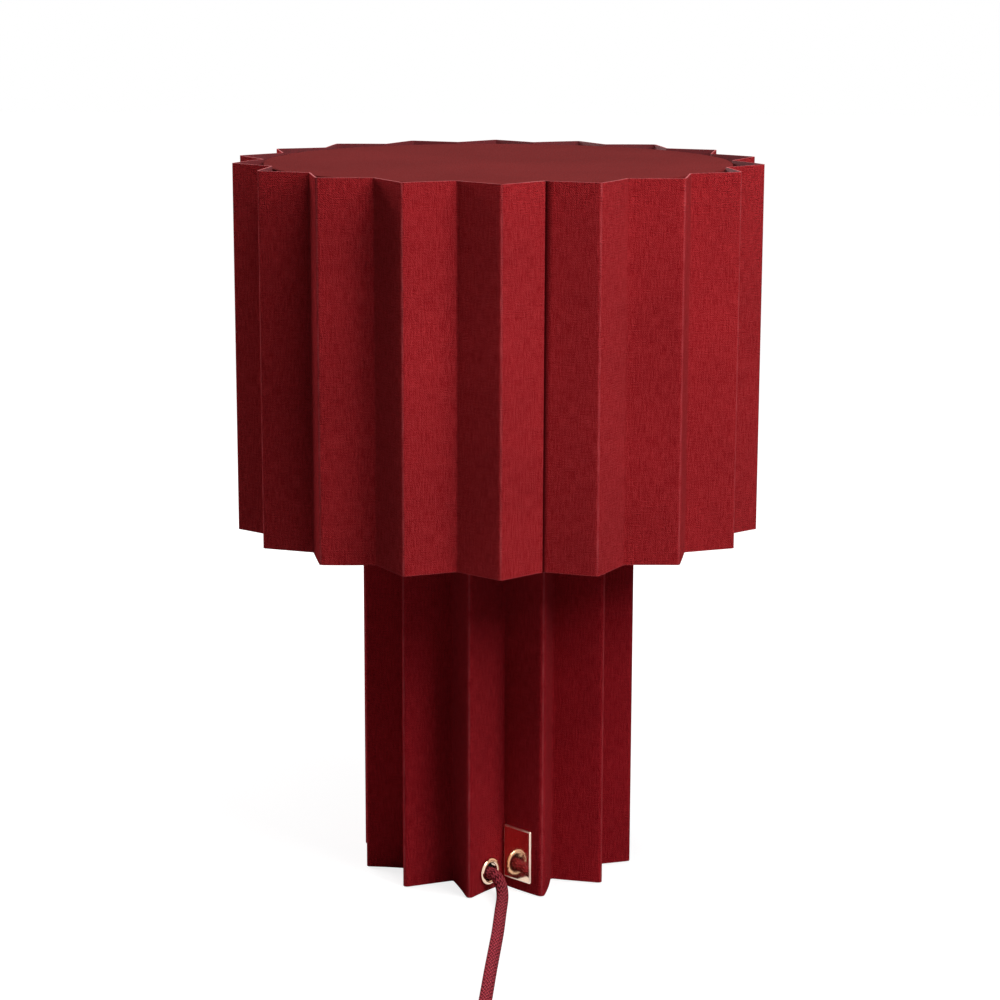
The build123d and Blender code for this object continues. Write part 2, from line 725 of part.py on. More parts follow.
# Bulb: glass, screw cap, insulator and tip
cone_bottom = BULB_BOTTOM + TIP_HEIGHT + INSULATOR_HEIGHT
cap_bottom = cone_bottom + CAP_CONE_HEIGHT
cap_top = cap_bottom + CAP_HEIGHT
bulb_top = BULB_BOTTOM + BULB_LENGTH


def bulb_shape(inset):
    """The bulb's outside, or the space inside it at an inset, as a solid."""
    radius = BULB_RADIUS - inset
    middle = bulb_top - BULB_RADIUS
    neck = NECK_RADIUS - inset
    flare = radians(BULB_FLARE)
    shoulder = (radius * cos(flare), middle - radius * sin(flare))
    with BuildPart() as shape:
        with BuildSketch(Plane.XZ):
            with BuildLine():
                Polyline(
                    (0, middle + radius),
                    (0, cap_top - NECK_IN_CAP),
                    (neck, cap_top - NECK_IN_CAP),
                    (neck, cap_top),
                )
                Spline((neck, cap_top), shoulder, tangents=[(0, 1), (sin(flare), cos(flare))])
                ThreePointArc(shoulder, (radius, middle), (0, middle + radius))
            make_face()
        revolve(axis=Axis.Z)
    return shape


with BuildPart() as bulb_glass:
    add(bulb_shape(0))
    add(bulb_shape(GLASS_WALL), mode=Mode.SUBTRACT)
save(bulb_glass, "bulb_glass")

with BuildPart() as bulb_cap:
    with BuildSketch(Plane.XZ):
        with BuildLine():
            Polyline(
                (CAP_CONE_RADIUS, cone_bottom),
                (CAP_RADIUS, cap_bottom),
                (CAP_RADIUS, cap_top),
            )
            offset(amount=CAP_WALL, side=Side.LEFT, kind=Kind.INTERSECTION)
        make_face()
    revolve(axis=Axis.Z)
save(bulb_cap, "bulb_cap")

with BuildPart() as bulb_insulator:
    with BuildSketch(Plane.XZ):
        with BuildLine():
            Polyline(
                (0, BULB_BOTTOM + TIP_HEIGHT),
                (TIP_RADIUS, BULB_BOTTOM + TIP_HEIGHT),
                (CAP_CONE_RADIUS, cone_bottom),
                (0, cone_bottom),
                close=True,
            )
        make_face()
    revolve(axis=Axis.Z)
save(bulb_insulator, "bulb_insulator")

with BuildPart() as bulb_tip:
    with BuildSketch(Plane.XY.offset(BULB_BOTTOM)):
        Circle(TIP_RADIUS)
    extrude(amount=TIP_HEIGHT)
    fillet(bulb_tip.edges().group_by(Axis.Z)[0], TIP_HEIGHT / 2)
save(bulb_tip, "bulb_tip")

# Switch in the cord: two shells, rocker on its pin, two contact blades and two screws
split_up = Plane(origin=(SWITCH_X, SWITCH_Y, SWITCH_LOWER), x_dir=(0, -1, 0), z_dir=(0, 0, 1))
split_down = Plane(origin=(SWITCH_X, SWITCH_Y, SWITCH_LOWER), x_dir=(0, -1, 0), z_dir=(0, 0, -1))
bosses_up = [(BOSS_ALONG, BOSS_ACROSS), (-BOSS_ALONG, -BOSS_ACROSS)]
bosses_down = [(BOSS_ALONG, -BOSS_ACROSS), (-BOSS_ALONG, BOSS_ACROSS)]
neck_end = SWITCH_LENGTH / 2 + NECK_LENGTH
cord_stop = neck_end - CORD_GRIP


def switch_shell(split, depth, bosses):
    """Half of the switch housing, open at the split, with screw bosses and half of each cord bore."""
    outward = Axis(split.origin, split.z_dir)
    with BuildPart() as shell:
        with BuildSketch(split):
            SlotOverall(SWITCH_LENGTH, SWITCH_WIDTH)
        extrude(amount=depth)
        fillet(shell.edges().group_by(outward)[-1], SWITCH_EDGE)
        with BuildSketch(split):
            Rectangle(2 * neck_end, NECK_WIDTH)
        extrude(amount=NECK_WIDTH / 2)
        with BuildSketch(split):
            SlotOverall(SWITCH_LENGTH - 2 * SWITCH_WALL, SWITCH_WIDTH - 2 * SWITCH_WALL)
        extrude(amount=depth - SWITCH_WALL, mode=Mode.SUBTRACT)
        with BuildSketch(split):
            with Locations(*bosses):
                Circle(BOSS_RADIUS)
        extrude(amount=depth - SWITCH_WALL)
        for end in (-1, 1):
            mouth = Plane(
                origin=split.from_local_coords((end * neck_end, 0, 0)), z_dir=split.x_dir * end
            )
            with BuildSketch(mouth):
                Circle(saddle_radius)
            extrude(amount=-CORD_GRIP, mode=Mode.SUBTRACT)
    return shell


screw_hole = SWITCH_SCREW_RADIUS + SCREW_SLACK
screw_recess = SWITCH_SCREW_HEAD + SCREW_SLACK
with BuildPart() as switch_lower:
    add(switch_shell(split_down, SWITCH_LOWER, bosses_down))
    with Locations(split_down.offset(SWITCH_LOWER)):
        with Locations(*bosses_down):
            CounterBoreHole(screw_hole, screw_recess, SWITCH_SCREW_RECESS)
save(switch_lower, "switch_lower")

rocker_plane = Plane(
    origin=(SWITCH_X, SWITCH_Y, PIVOT_HEIGHT), x_dir=(0, -1, 0), z_dir=(-1, 0, 0)
)
window_width = ROCKER_WIDTH + 2 * ROCKER_GAP
ceiling = SWITCH_LOWER + SWITCH_UPPER - SWITCH_WALL - PIVOT_HEIGHT
with BuildPart() as switch_upper:
    add(switch_shell(split_up, SWITCH_UPPER, bosses_up))
    with Locations(split_up):
        with Locations(*bosses_up):
            Hole(screw_hole, depth=SWITCH_SCREW_RECESS + SWITCH_SCREW_LENGTH - SWITCH_LOWER)
    with BuildSketch(split_up.offset(SWITCH_UPPER)):
        Rectangle(2 * (ROCKER_REACH + ROCKER_GAP), window_width)
    extrude(amount=-2 * SWITCH_WALL, mode=Mode.SUBTRACT)
    for side in (-1, 1):
        with BuildSketch(rocker_plane.offset(side * window_width / 2)):
            with Locations((0, (ceiling - LUG_DROP) / 2)):
                Rectangle(LUG_WIDTH, ceiling + LUG_DROP)
        extrude(amount=side * LUG_THICKNESS)
    with BuildSketch(rocker_plane):
        Circle(PIN_RADIUS + PIN_SLACK)
    extrude(amount=window_width / 2 + LUG_THICKNESS, both=True, mode=Mode.SUBTRACT)
save(switch_upper, "switch_upper")

tilt = radians(ROCKER_TILT)
slope = ROCKER_REACH * tan(tilt)
tilted_plane = Plane(origin=rocker_plane.origin, x_dir=(0, -cos(tilt), sin(tilt)), z_dir=(-1, 0, 0))
with BuildPart() as switch_rocker:
    with BuildSketch(tilted_plane):
        with BuildLine():
            Polyline(
                (-ROCKER_REACH, ROCKER_CREST),
                (0, ROCKER_CREST - slope),
                (ROCKER_REACH, ROCKER_CREST),
                (ROCKER_REACH, -ROCKER_KEEL + slope),
                (0, -ROCKER_KEEL),
                (-ROCKER_REACH, -ROCKER_KEEL + slope),
                close=True,
            )
        make_face()
        Circle(ROCKER_REACH, mode=Mode.INTERSECT)
        Circle(PIN_RADIUS + PIN_SLACK, mode=Mode.SUBTRACT)
    extrude(amount=ROCKER_WIDTH / 2, both=True)
save(switch_rocker, "switch_rocker")

with BuildPart() as rocker_pin:
    with BuildSketch(rocker_plane):
        Circle(PIN_RADIUS)
    extrude(amount=window_width / 2 + LUG_THICKNESS, both=True)
save(rocker_pin, "rocker_pin")

with BuildPart() as switch_blades:
    for end in (-1, 1):
        with BuildSketch(Plane((SWITCH_X, SWITCH_Y, SWITCH_WALL), (0, -end, 0), (-end, 0, 0))):
            with Locations((BLADE_AT, 0)):
                Rectangle(BLADE_FOOT, BLADE_THICKNESS, align=(Align.MIN, Align.MIN))
                Rectangle(BLADE_THICKNESS, BLADE_HEIGHT, align=(Align.MIN, Align.MIN))
        extrude(amount=BLADE_WIDTH / 2, both=True)
save(switch_blades, "switch_blades")

switch_screws = screws(
    split_down.offset(SWITCH_LOWER - SWITCH_SCREW_RECESS),
    bosses_down,
    SWITCH_SCREW_RADIUS,
    SWITCH_SCREW_LENGTH,
    SWITCH_SCREW_HEAD,
    SWITCH_SCREW_RECESS - SCREW_SLACK,
)
save(switch_screws, "switch_screws")

# Plug: body, tapered sleeve, two pins and their insulating sleeves
plug_front = Plane(origin=(PLUG_X, PLUG_Y, PLUG_AXIS_HEIGHT), x_dir=(0, 1, 0), z_dir=(-1, 0, 0))
prongs = [(-PRONG_SPACING / 2, 0), (PRONG_SPACING / 2, 0)]
with BuildPart() as plug_body:
    with BuildSketch(plug_front):
        RectangleRounded(PLUG_WIDTH, PLUG_HEIGHT, PLUG_CORNER)
    with BuildSketch(plug_front.offset(-PLUG_WAIST_AT)):
        RectangleRounded(PLUG_WAIST_WIDTH, PLUG_WAIST_HEIGHT, PLUG_CORNER)
    with BuildSketch(plug_front.offset(-PLUG_LENGTH)):
        RectangleRounded(PLUG_TAIL_WIDTH, PLUG_TAIL_HEIGHT, PLUG_CORNER)
    loft()
    with Locations(plug_front):
        with Locations(*prongs):
            Hole(PRONG_NECK_RADIUS, depth=PRONG_ROOT)
save(plug_body, "plug_body")

with BuildPart() as plug_prongs:
    with BuildSketch(plug_front.offset(-PRONG_ROOT)):
        with Locations(*prongs):
            Circle(PRONG_NECK_RADIUS)
    extrude(amount=PRONG_ROOT + PRONG_SLEEVE_LENGTH)
    with BuildSketch(plug_front.offset(PRONG_SLEEVE_LENGTH)):
        with Locations(*prongs):
            Circle(PRONG_RADIUS)
    extrude(amount=PRONG_LENGTH - PRONG_SLEEVE_LENGTH)
    tips = plug_prongs.edges().filter_by(GeomType.CIRCLE).group_by(Axis.X)[0]
    fillet(tips, PRONG_RADIUS * 0.7)
save(plug_prongs, "plug_prongs")

with BuildPart() as prong_sleeves:
    with BuildSketch(plug_front):
        with Locations(*prongs):
            Circle(PRONG_SLEEVE_RADIUS)
            Circle(PRONG_NECK_RADIUS, mode=Mode.SUBTRACT)
    extrude(amount=PRONG_SLEEVE_LENGTH)
save(prong_sleeves, "prong_sleeves")

sleeve_mouth = plug_front.offset(-PLUG_LENGTH - SLEEVE_LENGTH)
with BuildPart() as plug_sleeve:
    with BuildSketch(plug_front.offset(-PLUG_LENGTH)):
        Circle(SLEEVE_START_RADIUS)
    with BuildSketch(sleeve_mouth):
        Circle(SLEEVE_END_RADIUS)
    loft()
    with BuildSketch(sleeve_mouth):
        Circle(saddle_radius)
    extrude(amount=CORD_GRIP, mode=Mode.SUBTRACT)
save(plug_sleeve, "plug_sleeve")

# The free cord: from the eyelet to the switch, on to the coil, and from the coil to the plug
switch_entry = (SWITCH_X, SWITCH_Y + cord_stop, SWITCH_LOWER)
switch_exit = (SWITCH_X, SWITCH_Y - cord_stop, SWITCH_LOWER)
plug_entry = (PLUG_X + PLUG_LENGTH + SLEEVE_LENGTH - CORD_GRIP, PLUG_Y, PLUG_AXIS_HEIGHT)
cord_tube("cord_front", [exit_point, exit_point + exit_way * EXIT_RUN, *FRONT_ROUTE, switch_entry])
cord_tube("cord_link", [switch_exit, *LINK_ROUTE])
cord_tube("cord_tail", [*TAIL_ROUTE, plug_entry])

coil_width = 2 * CORD_RADIUS * COIL_ACROSS
coil_height = 2 * CORD_RADIUS * COIL_LAYERS
coil_axis = Axis((COIL_X, COIL_Y, 0), (0, 0, 1))
with BuildPart() as cord_coil:
    with BuildSketch(Plane(origin=(COIL_X, COIL_Y, 0), x_dir=(1, 0, 0), z_dir=(0, -1, 0))):
        with Locations((COIL_RADIUS, coil_height / 2)):
            RectangleRounded(coil_width, coil_height, CORD_RADIUS * 0.9)
    revolve(axis=coil_axis)
save(cord_coil, "cord_coil")
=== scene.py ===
# %% [markdown]
# A table lamp of folded red book cloth: a pleated shade on a pleated column.
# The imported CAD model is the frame. This script replaces its cloth and its cord with
# detailed pieces in the same place, and gives every other part a material of its own.

from math import pi, radians

import bpy
import numpy as np
from mathutils import Matrix


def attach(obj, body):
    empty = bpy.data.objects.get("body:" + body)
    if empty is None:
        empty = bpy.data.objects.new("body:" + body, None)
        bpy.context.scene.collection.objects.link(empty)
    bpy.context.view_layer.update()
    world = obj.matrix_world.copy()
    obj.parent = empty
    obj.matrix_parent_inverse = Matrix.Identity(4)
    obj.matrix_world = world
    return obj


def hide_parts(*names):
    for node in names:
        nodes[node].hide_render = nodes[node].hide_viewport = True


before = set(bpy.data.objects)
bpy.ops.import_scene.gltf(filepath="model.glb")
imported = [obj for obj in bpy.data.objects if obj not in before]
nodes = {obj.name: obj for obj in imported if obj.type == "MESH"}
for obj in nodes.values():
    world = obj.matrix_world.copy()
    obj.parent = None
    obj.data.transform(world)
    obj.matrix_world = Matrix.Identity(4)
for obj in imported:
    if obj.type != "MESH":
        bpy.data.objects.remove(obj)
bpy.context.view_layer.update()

# %% [markdown]
# The camera comes from fitting the outlines of the shade, its disc and the column in the
# photograph. It looks down by 12 degrees from 1.35 m away, with a long lens, so the pleats
# at the front are hardly larger than those at the back.

# %% Camera
IMAGE_WIDTH = 1000
FOCAL_PIXELS = 2641.8
SENSOR = 36.0
CAMERA_PLACE = (0.008, -1.3523, 0.4829)
CAMERA_SHIFT = -0.0127
LOOKS_DOWN = 12.06
ROLL = 0.23

camera = bpy.data.objects.new("camera", bpy.data.cameras.new("camera"))
camera.data.sensor_fit = "HORIZONTAL"
camera.data.sensor_width = SENSOR
camera.data.lens = SENSOR * FOCAL_PIXELS / IMAGE_WIDTH
camera.data.shift_x = CAMERA_SHIFT
camera.location = CAMERA_PLACE
tilt = Matrix.Rotation(radians(90 - LOOKS_DOWN), 3, "X")
camera.rotation_euler = (tilt @ Matrix.Rotation(radians(ROLL), 3, "Z")).to_euler()
bpy.context.collection.objects.link(camera)
bpy.context.scene.camera = camera
print("lens", round(camera.data.lens, 1), "mm")

# %% [markdown]
# Most pieces are surfaces on a grid of points. They could be drawn by hand and given modifiers,
# but as numbers they follow the CAD sizes exactly. One function turns such a grid into a mesh,
# with a UV layer in metres along the cloth, so that a weave has the same size everywhere.
# Attributes carry what a material needs to know, such as how far a point is from a fold.


# %% Mesh helpers
def grid_faces(rows, columns, start=0, close=False):
    """Corner numbers of the quads between neighbouring points of a rows by columns grid.
    With close, the last column joins the first."""
    row = np.arange(rows - 1)[:, None] * columns
    column = np.arange(columns if close else columns - 1)[None, :]
    after = (column + 1) % columns
    return start + np.stack(
        [row + column, row + after, row + columns + after, row + columns + column], axis=-1
    ).reshape(-1, 4)


def mesh_piece(name, points, faces, body, uv=None, facts=None, sharp=45.0):
    """An object from points and quads. uv and each array in facts have one entry per point."""
    mesh = bpy.data.meshes.new(name)
    mesh.from_pydata(points.reshape(-1, 3), [], faces)
    mesh.polygons.foreach_set("use_smooth", np.ones(len(faces), dtype=bool))
    mesh.set_sharp_from_angle(angle=radians(sharp))
    if uv is not None:
        layer = mesh.uv_layers.new(name="cloth")
        corner = np.empty(len(mesh.loops), dtype=np.int32)
        mesh.loops.foreach_get("vertex_index", corner)
        layer.uv.foreach_set("vector", uv[corner].astype(np.float32).ravel())
    for fact, values in (facts or {}).items():
        mesh.attributes.new(fact, "FLOAT", "POINT").data.foreach_set(
            "value", values.astype(np.float32)
        )
    mesh.update()
    piece = bpy.data.objects.new(name, mesh)
    bpy.context.collection.objects.link(piece)
    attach(piece, body)
    return piece


def direction(azimuth):
    """The unit vector at an azimuth in degrees, counted from -Y towards +X."""
    angle = np.radians(azimuth)
    return np.stack([np.sin(angle), -np.cos(angle)], axis=-1)


# %% [markdown]
# The cord leaves the eyelet, comes down on the floor and runs to the switch. Beyond the
# view the rest lies in a neat coil that ends in the plug. Each line is a NURBS spline with
# the route's points as its control points, so it bends as smoothly as a real cord.

# %% Cord routes
MM = 0.001
CORD_RADIUS = 3.1 * MM
COIL_MIDDLE = (85.0, -333.0)
EXIT = (-3.19, -59.66, 10.0)
CORD_SAG = 1.0

front_route = [
    EXIT,
    (-1.00, -61.39, 10.0),
    (1.3, -64.2, 8.7),
    (2.9, -68.3, 6.6),
    (3.6, -73.8, 4.6),
    (3.6, -81.2, 3.4),
    (3.0, -91.0, 3.1),
    (2.4, -105.0, 3.1),
    (1.6, -124.0, 3.1),
    (0.4, -143.0, 3.1),
    (-0.8, -161.5, 3.1),
    (-1.9, -179.0, 3.1),
    (-2.8, -195.0, 3.1),
    (-3.6, -209.0, 3.1),
    (-4.4, -222.0, 3.9),
    (-5.0, -234.0, 6.9),
    (-5.0, -245.0, 8.5),
    (-5.0, -256.0, 8.5),
]
link_route = [
    (-5.0, -324.0, 8.5),
    (-5.0, -335.0, 8.5),
    (-3.2, -347.5, 7.0),
    (2.5, -358.8, 4.6),
    (11.5, -367.5, 3.3),
    (23.5, -373.5, 3.1),
    (37.5, -376.0, 3.1),
    (53.0, -376.8, 3.1),
    (67.0, -376.4, 3.1),
]
tail_route = [
    (128.7, -323.0, 9.3),
    (128.8, -313.0, 8.8),
    (128.6, -300.5, 6.9),
    (127.2, -286.0, 5.2),
    (121.4, -273.9, 5.2),
    (111.5, -264.9, 6.0),
    (99.5, -260.0, 6.85),
    (87.0, -260.0, 6.85),
]
print("routes of", len(front_route), len(link_route), "and", len(tail_route), "points")

# %% [markdown]
# The coil starts on the floor at its outside, winds inwards for three turns, climbs on
# top of itself and winds outwards again. A turn moves over by one cord diameter in the last
# fifty degrees before it would meet itself. The control points lie a little outside the
# turns, because a quadratic spline runs inside its control points.

# %% Coil turns
COIL_STEP = 22.5
wound = [0, 310, 360, 670, 720, 970, 1030, 1280, 1330, 1640, 1690, 1890]
radius_at = [43.2, 43.2, 37.0, 37.0, 30.8, 30.8, 30.8, 30.8, 37.0, 37.0, 43.2, 43.2]
height_at = [3.1, 3.1, 3.1, 3.1, 3.1, 3.1, 9.3, 9.3, 9.3, 9.3, 9.3, 9.3]
turned = np.arange(0, wound[-1] + 1, COIL_STEP)
bulge = 1 / (0.75 + 0.25 * np.cos(np.radians(COIL_STEP)))
reach = np.interp(turned, wound, radius_at) * bulge
coil_route = np.c_[
    np.array(COIL_MIDDLE) + reach[:, None] * direction(turned),
    np.interp(turned, wound, height_at),
]
print(len(coil_route), "points in", wound[-1] / 360, "turns")

# %% [markdown]
# Blender works out each spline, and the cord's mesh follows it: rings of points, each square
# to the line. A curve with a round bevel would be quicker, but the braid's pattern would
# stretch in the bends. The last point of a ring lies on its first, so that the pattern can run
# once round it, and a weld closes that seam.

# %% Smooth cord lines
def spline_line(name, route):
    """The points of a NURBS spline of order 3 that has the route as its control points."""
    curve = bpy.data.curves.new(name, "CURVE")
    curve.dimensions = "3D"
    curve.resolution_u = 16
    spline = curve.splines.new("NURBS")
    spline.points.add(len(route) - 1)
    spline.points.foreach_set("co", np.c_[np.array(route) * MM, np.ones(len(route))].ravel())
    spline.order_u = 3
    spline.use_endpoint_u = True
    holder = bpy.data.objects.new(name, curve)
    bpy.context.collection.objects.link(holder)
    line = bpy.data.meshes.new_from_object(holder)
    points = np.empty(len(line.vertices) * 3)
    line.vertices.foreach_get("co", points)
    bpy.data.objects.remove(holder)
    return points.reshape(-1, 3)


def along_line(points):
    """The distance from the line's start to each of its points."""
    return np.r_[0, np.cumsum(np.linalg.norm(np.diff(points, axis=0), axis=1))]


def rings_along(path, sides):
    """Rings of points round a path: path + radius * (cos a * across + sin a * upward), where
    across is level and upward is square to it and to the path."""
    ahead = np.gradient(path, axis=0)
    ahead /= np.linalg.norm(ahead, axis=1, keepdims=True)
    across = np.cross(ahead, (0, 0, 1))
    across /= np.linalg.norm(across, axis=1, keepdims=True)
    upward = np.cross(across, ahead)
    angle = 2 * pi * np.linspace(0, 1, sides + 1)[None, :, None]
    return path[:, None] + CORD_RADIUS * (
        np.cos(angle) * across[:, None] + np.sin(angle) * upward[:, None]
    )


def cord_piece(name, route, spacing, sides):
    """A round cord along a route, closed at both ends. Its UV is the share of the way round
    and the distance along it in metres."""
    line = spline_line(name, route)
    distance = along_line(line)
    rings = int(distance[-1] / spacing) + 1
    station = np.linspace(0, distance[-1], rings)
    path = np.stack([np.interp(station, distance, line[:, k]) for k in range(3)], axis=1)
    turn = np.linspace(0, 1, sides + 1)
    uv = np.stack(np.broadcast_arrays(turn[None, :], station[:, None]), axis=-1).reshape(-1, 2)
    ring_start = np.arange(rings) * (sides + 1)
    first_end, last_end = (start + np.arange(sides) for start in ring_start[[0, -1]])
    faces = grid_faces(rings, sides + 1)[:, ::-1].tolist()
    faces += [first_end.tolist(), last_end[::-1].tolist()]
    piece = mesh_piece(name, rings_along(path, sides), faces, "base", uv=uv)
    seam = piece.vertex_groups.new(name="seam")
    seam.add(np.r_[ring_start, ring_start + sides].tolist(), 1.0, "REPLACE")
    weld = piece.modifiers.new("weld", "WELD")
    weld.vertex_group = "seam"
    weld.merge_threshold = 0.01 * MM
    print(name, "is", round(distance[-1], 3), "m long,", len(faces), "faces")
    return piece


# %% [markdown]
# There are two lengths of free cord, because the switch parts them. The first one shows in
# the photograph, so its rings are closer together.

# %% Cords
cord_to_switch = cord_piece(
    "cord_to_switch",
    front_route,
    spacing=0.0006,
    sides=40,
)
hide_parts("cord_front")
cord_to_plug = cord_piece(
    "cord_to_plug",
    link_route + coil_route.tolist() + tail_route,
    spacing=0.001,
    sides=28,
)
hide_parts("cord_link", "cord_coil", "cord_tail")

# %% [markdown]
# A pleated wall is one long sheet, folded to and fro. The line through the middle of the
# sheet is worked out first: from the tab behind the lap seam, over every fold, to the cut
# edge that stops just short of the seam. Each fold is an arc, never a sharp corner.

# %% Folded line
SHEET = 0.8  # the thickness of cloth and card, in millimetres like all lengths below
FOLD_RADIUS = 1.6
SEAM_LAP = 12.0  # how far the tab reaches behind the cut edge
SEAM_GAP = 0.9  # from the cut edge to the next panel, at the foot
SEAM_CLOSES = 0.3  # how much narrower that gap is at the top
# The seam's groove is painted dark as shade, over this reach.
SEAM_SHADE = (2.4, 5.0)  # the reach of the dark groove, at the foot and at the top
PANEL_BOW = 0.38  # how far a panel may bow out or in
FOLD_STEPS = 8
PANEL_STEPS = 9


def moved_corner(before, corner, after, inset_before, inset_after):
    """Where two panels meet when each is moved inwards by its own inset."""
    run_in = (corner - before) / np.linalg.norm(corner - before)
    run_out = (after - corner) / np.linalg.norm(after - corner)
    turn = run_in[0] * run_out[1] - run_in[1] * run_out[0]
    return corner + (run_out * inset_before - run_in * inset_after) / turn


def sheet_corners(ridge_radius, depth, pleats, turn, seam):
    """The corners of the sheet's middle line in order, from the tab's end to the cut edge."""
    number = np.arange(2 * pleats)
    radii = np.where(number % 2 == 0, ridge_radius, ridge_radius - depth)
    outer = radii[:, None] * direction(turn + number * 180 / pleats)
    valley = outer[seam]
    arm = outer[seam - 1] - valley
    half_fold = np.arccos(arm @ valley / np.linalg.norm(arm) / np.linalg.norm(valley))
    outer[seam] = valley * (1 + SHEET / (2 * np.sin(half_fold)) / np.linalg.norm(valley))
    outer = np.roll(outer, -seam, axis=0)
    half = SHEET / 2
    left, corner = outer[-1], outer[0]
    run = (corner - left) / np.linalg.norm(corner - left)
    inward = np.array([-run[1], run[0]])
    tab_end = corner - run * SEAM_LAP + inward * 3 * half
    cut_end = corner - run * SEAM_GAP + inward * half
    middle = [tab_end, moved_corner(left, corner, outer[1], 3 * half, half)]
    for place in range(1, len(outer)):
        after = outer[(place + 1) % len(outer)]
        middle.append(moved_corner(outer[place - 1], outer[place], after, half, half))
    return np.array(middle + [cut_end])


def folded_line(corners):
    """Points along the sheet with rounded folds, and for each the number of folds before it."""
    runs = np.diff(corners, axis=0)
    lengths = np.linalg.norm(runs, axis=1)
    ways = runs / lengths[:, None]
    points, panel = [], []
    start = corners[0]
    for fold in range(1, len(corners) - 1):
        way_in, way_out = ways[fold - 1], ways[fold]
        sine = way_in[0] * way_out[1] - way_in[1] * way_out[0]
        bend = np.arctan2(sine, way_in @ way_out)
        setback = FOLD_RADIUS * abs(np.tan(bend / 2))
        end = corners[fold] - way_in * setback
        share = np.linspace(0, 1, PANEL_STEPS)[:, None]
        points.append(start + (end - start) * share)
        panel.append(np.full(PANEL_STEPS, fold - 1.0))
        part = np.linspace(0, 1, FOLD_STEPS + 1)[1:-1]
        side = np.array([-way_in[1], way_in[0]]) * np.sign(bend)
        centre = end + side * FOLD_RADIUS
        swing = part * abs(bend)
        points.append(
            centre
            - np.cos(swing)[:, None] * side * FOLD_RADIUS
            + np.sin(swing)[:, None] * way_in * FOLD_RADIUS
        )
        panel.append(fold - 1 + part)
        start = corners[fold] + way_out * setback
    share = np.linspace(0, 1, PANEL_STEPS)[:, None]
    points.append(start + (corners[-1] - start) * share)
    panel.append(np.full(PANEL_STEPS, len(corners) - 2.0))
    return np.concatenate(points), np.concatenate(panel)


# %% [markdown]
# The sheet is a closed shell: the same grid of points twice, once for the cloth outside and
# once for the inside, and a narrow rim all round that joins them. A Solidify modifier would
# make such a shell too. Here the script makes it, so that the UV and the distances of every
# point go with it, and so that the cloth, the cut edge and the inside, painted dark as shade,
# have their own slots.


# %% Sheet faces
def shell_faces(rows, columns):
    """The faces of a sheet that has an outer and an inner layer of rows by columns points and
    a rim round both, and the material slot of each face: 0 outside, 2 inside, 1 on the rim."""
    count = rows * columns
    outer = grid_faces(rows, columns)
    inner = grid_faces(rows, columns, start=count)[:, ::-1]
    foot, left = np.arange(columns), np.arange(rows) * columns
    top, right = foot + count - columns, left + columns - 1
    rims = []
    for edge, turned in ((foot, True), (top, False), (left, False), (right, True)):
        rim = np.stack([edge[:-1], edge[1:], edge[1:] + count, edge[:-1] + count], axis=1)
        rims.append(rim[:, ::-1] if turned else rim)
    faces = np.concatenate([outer, inner, *rims])
    slots = np.repeat((0, 2, 1), (len(outer), len(inner), sum(map(len, rims))))
    return faces, slots.astype(np.int32)
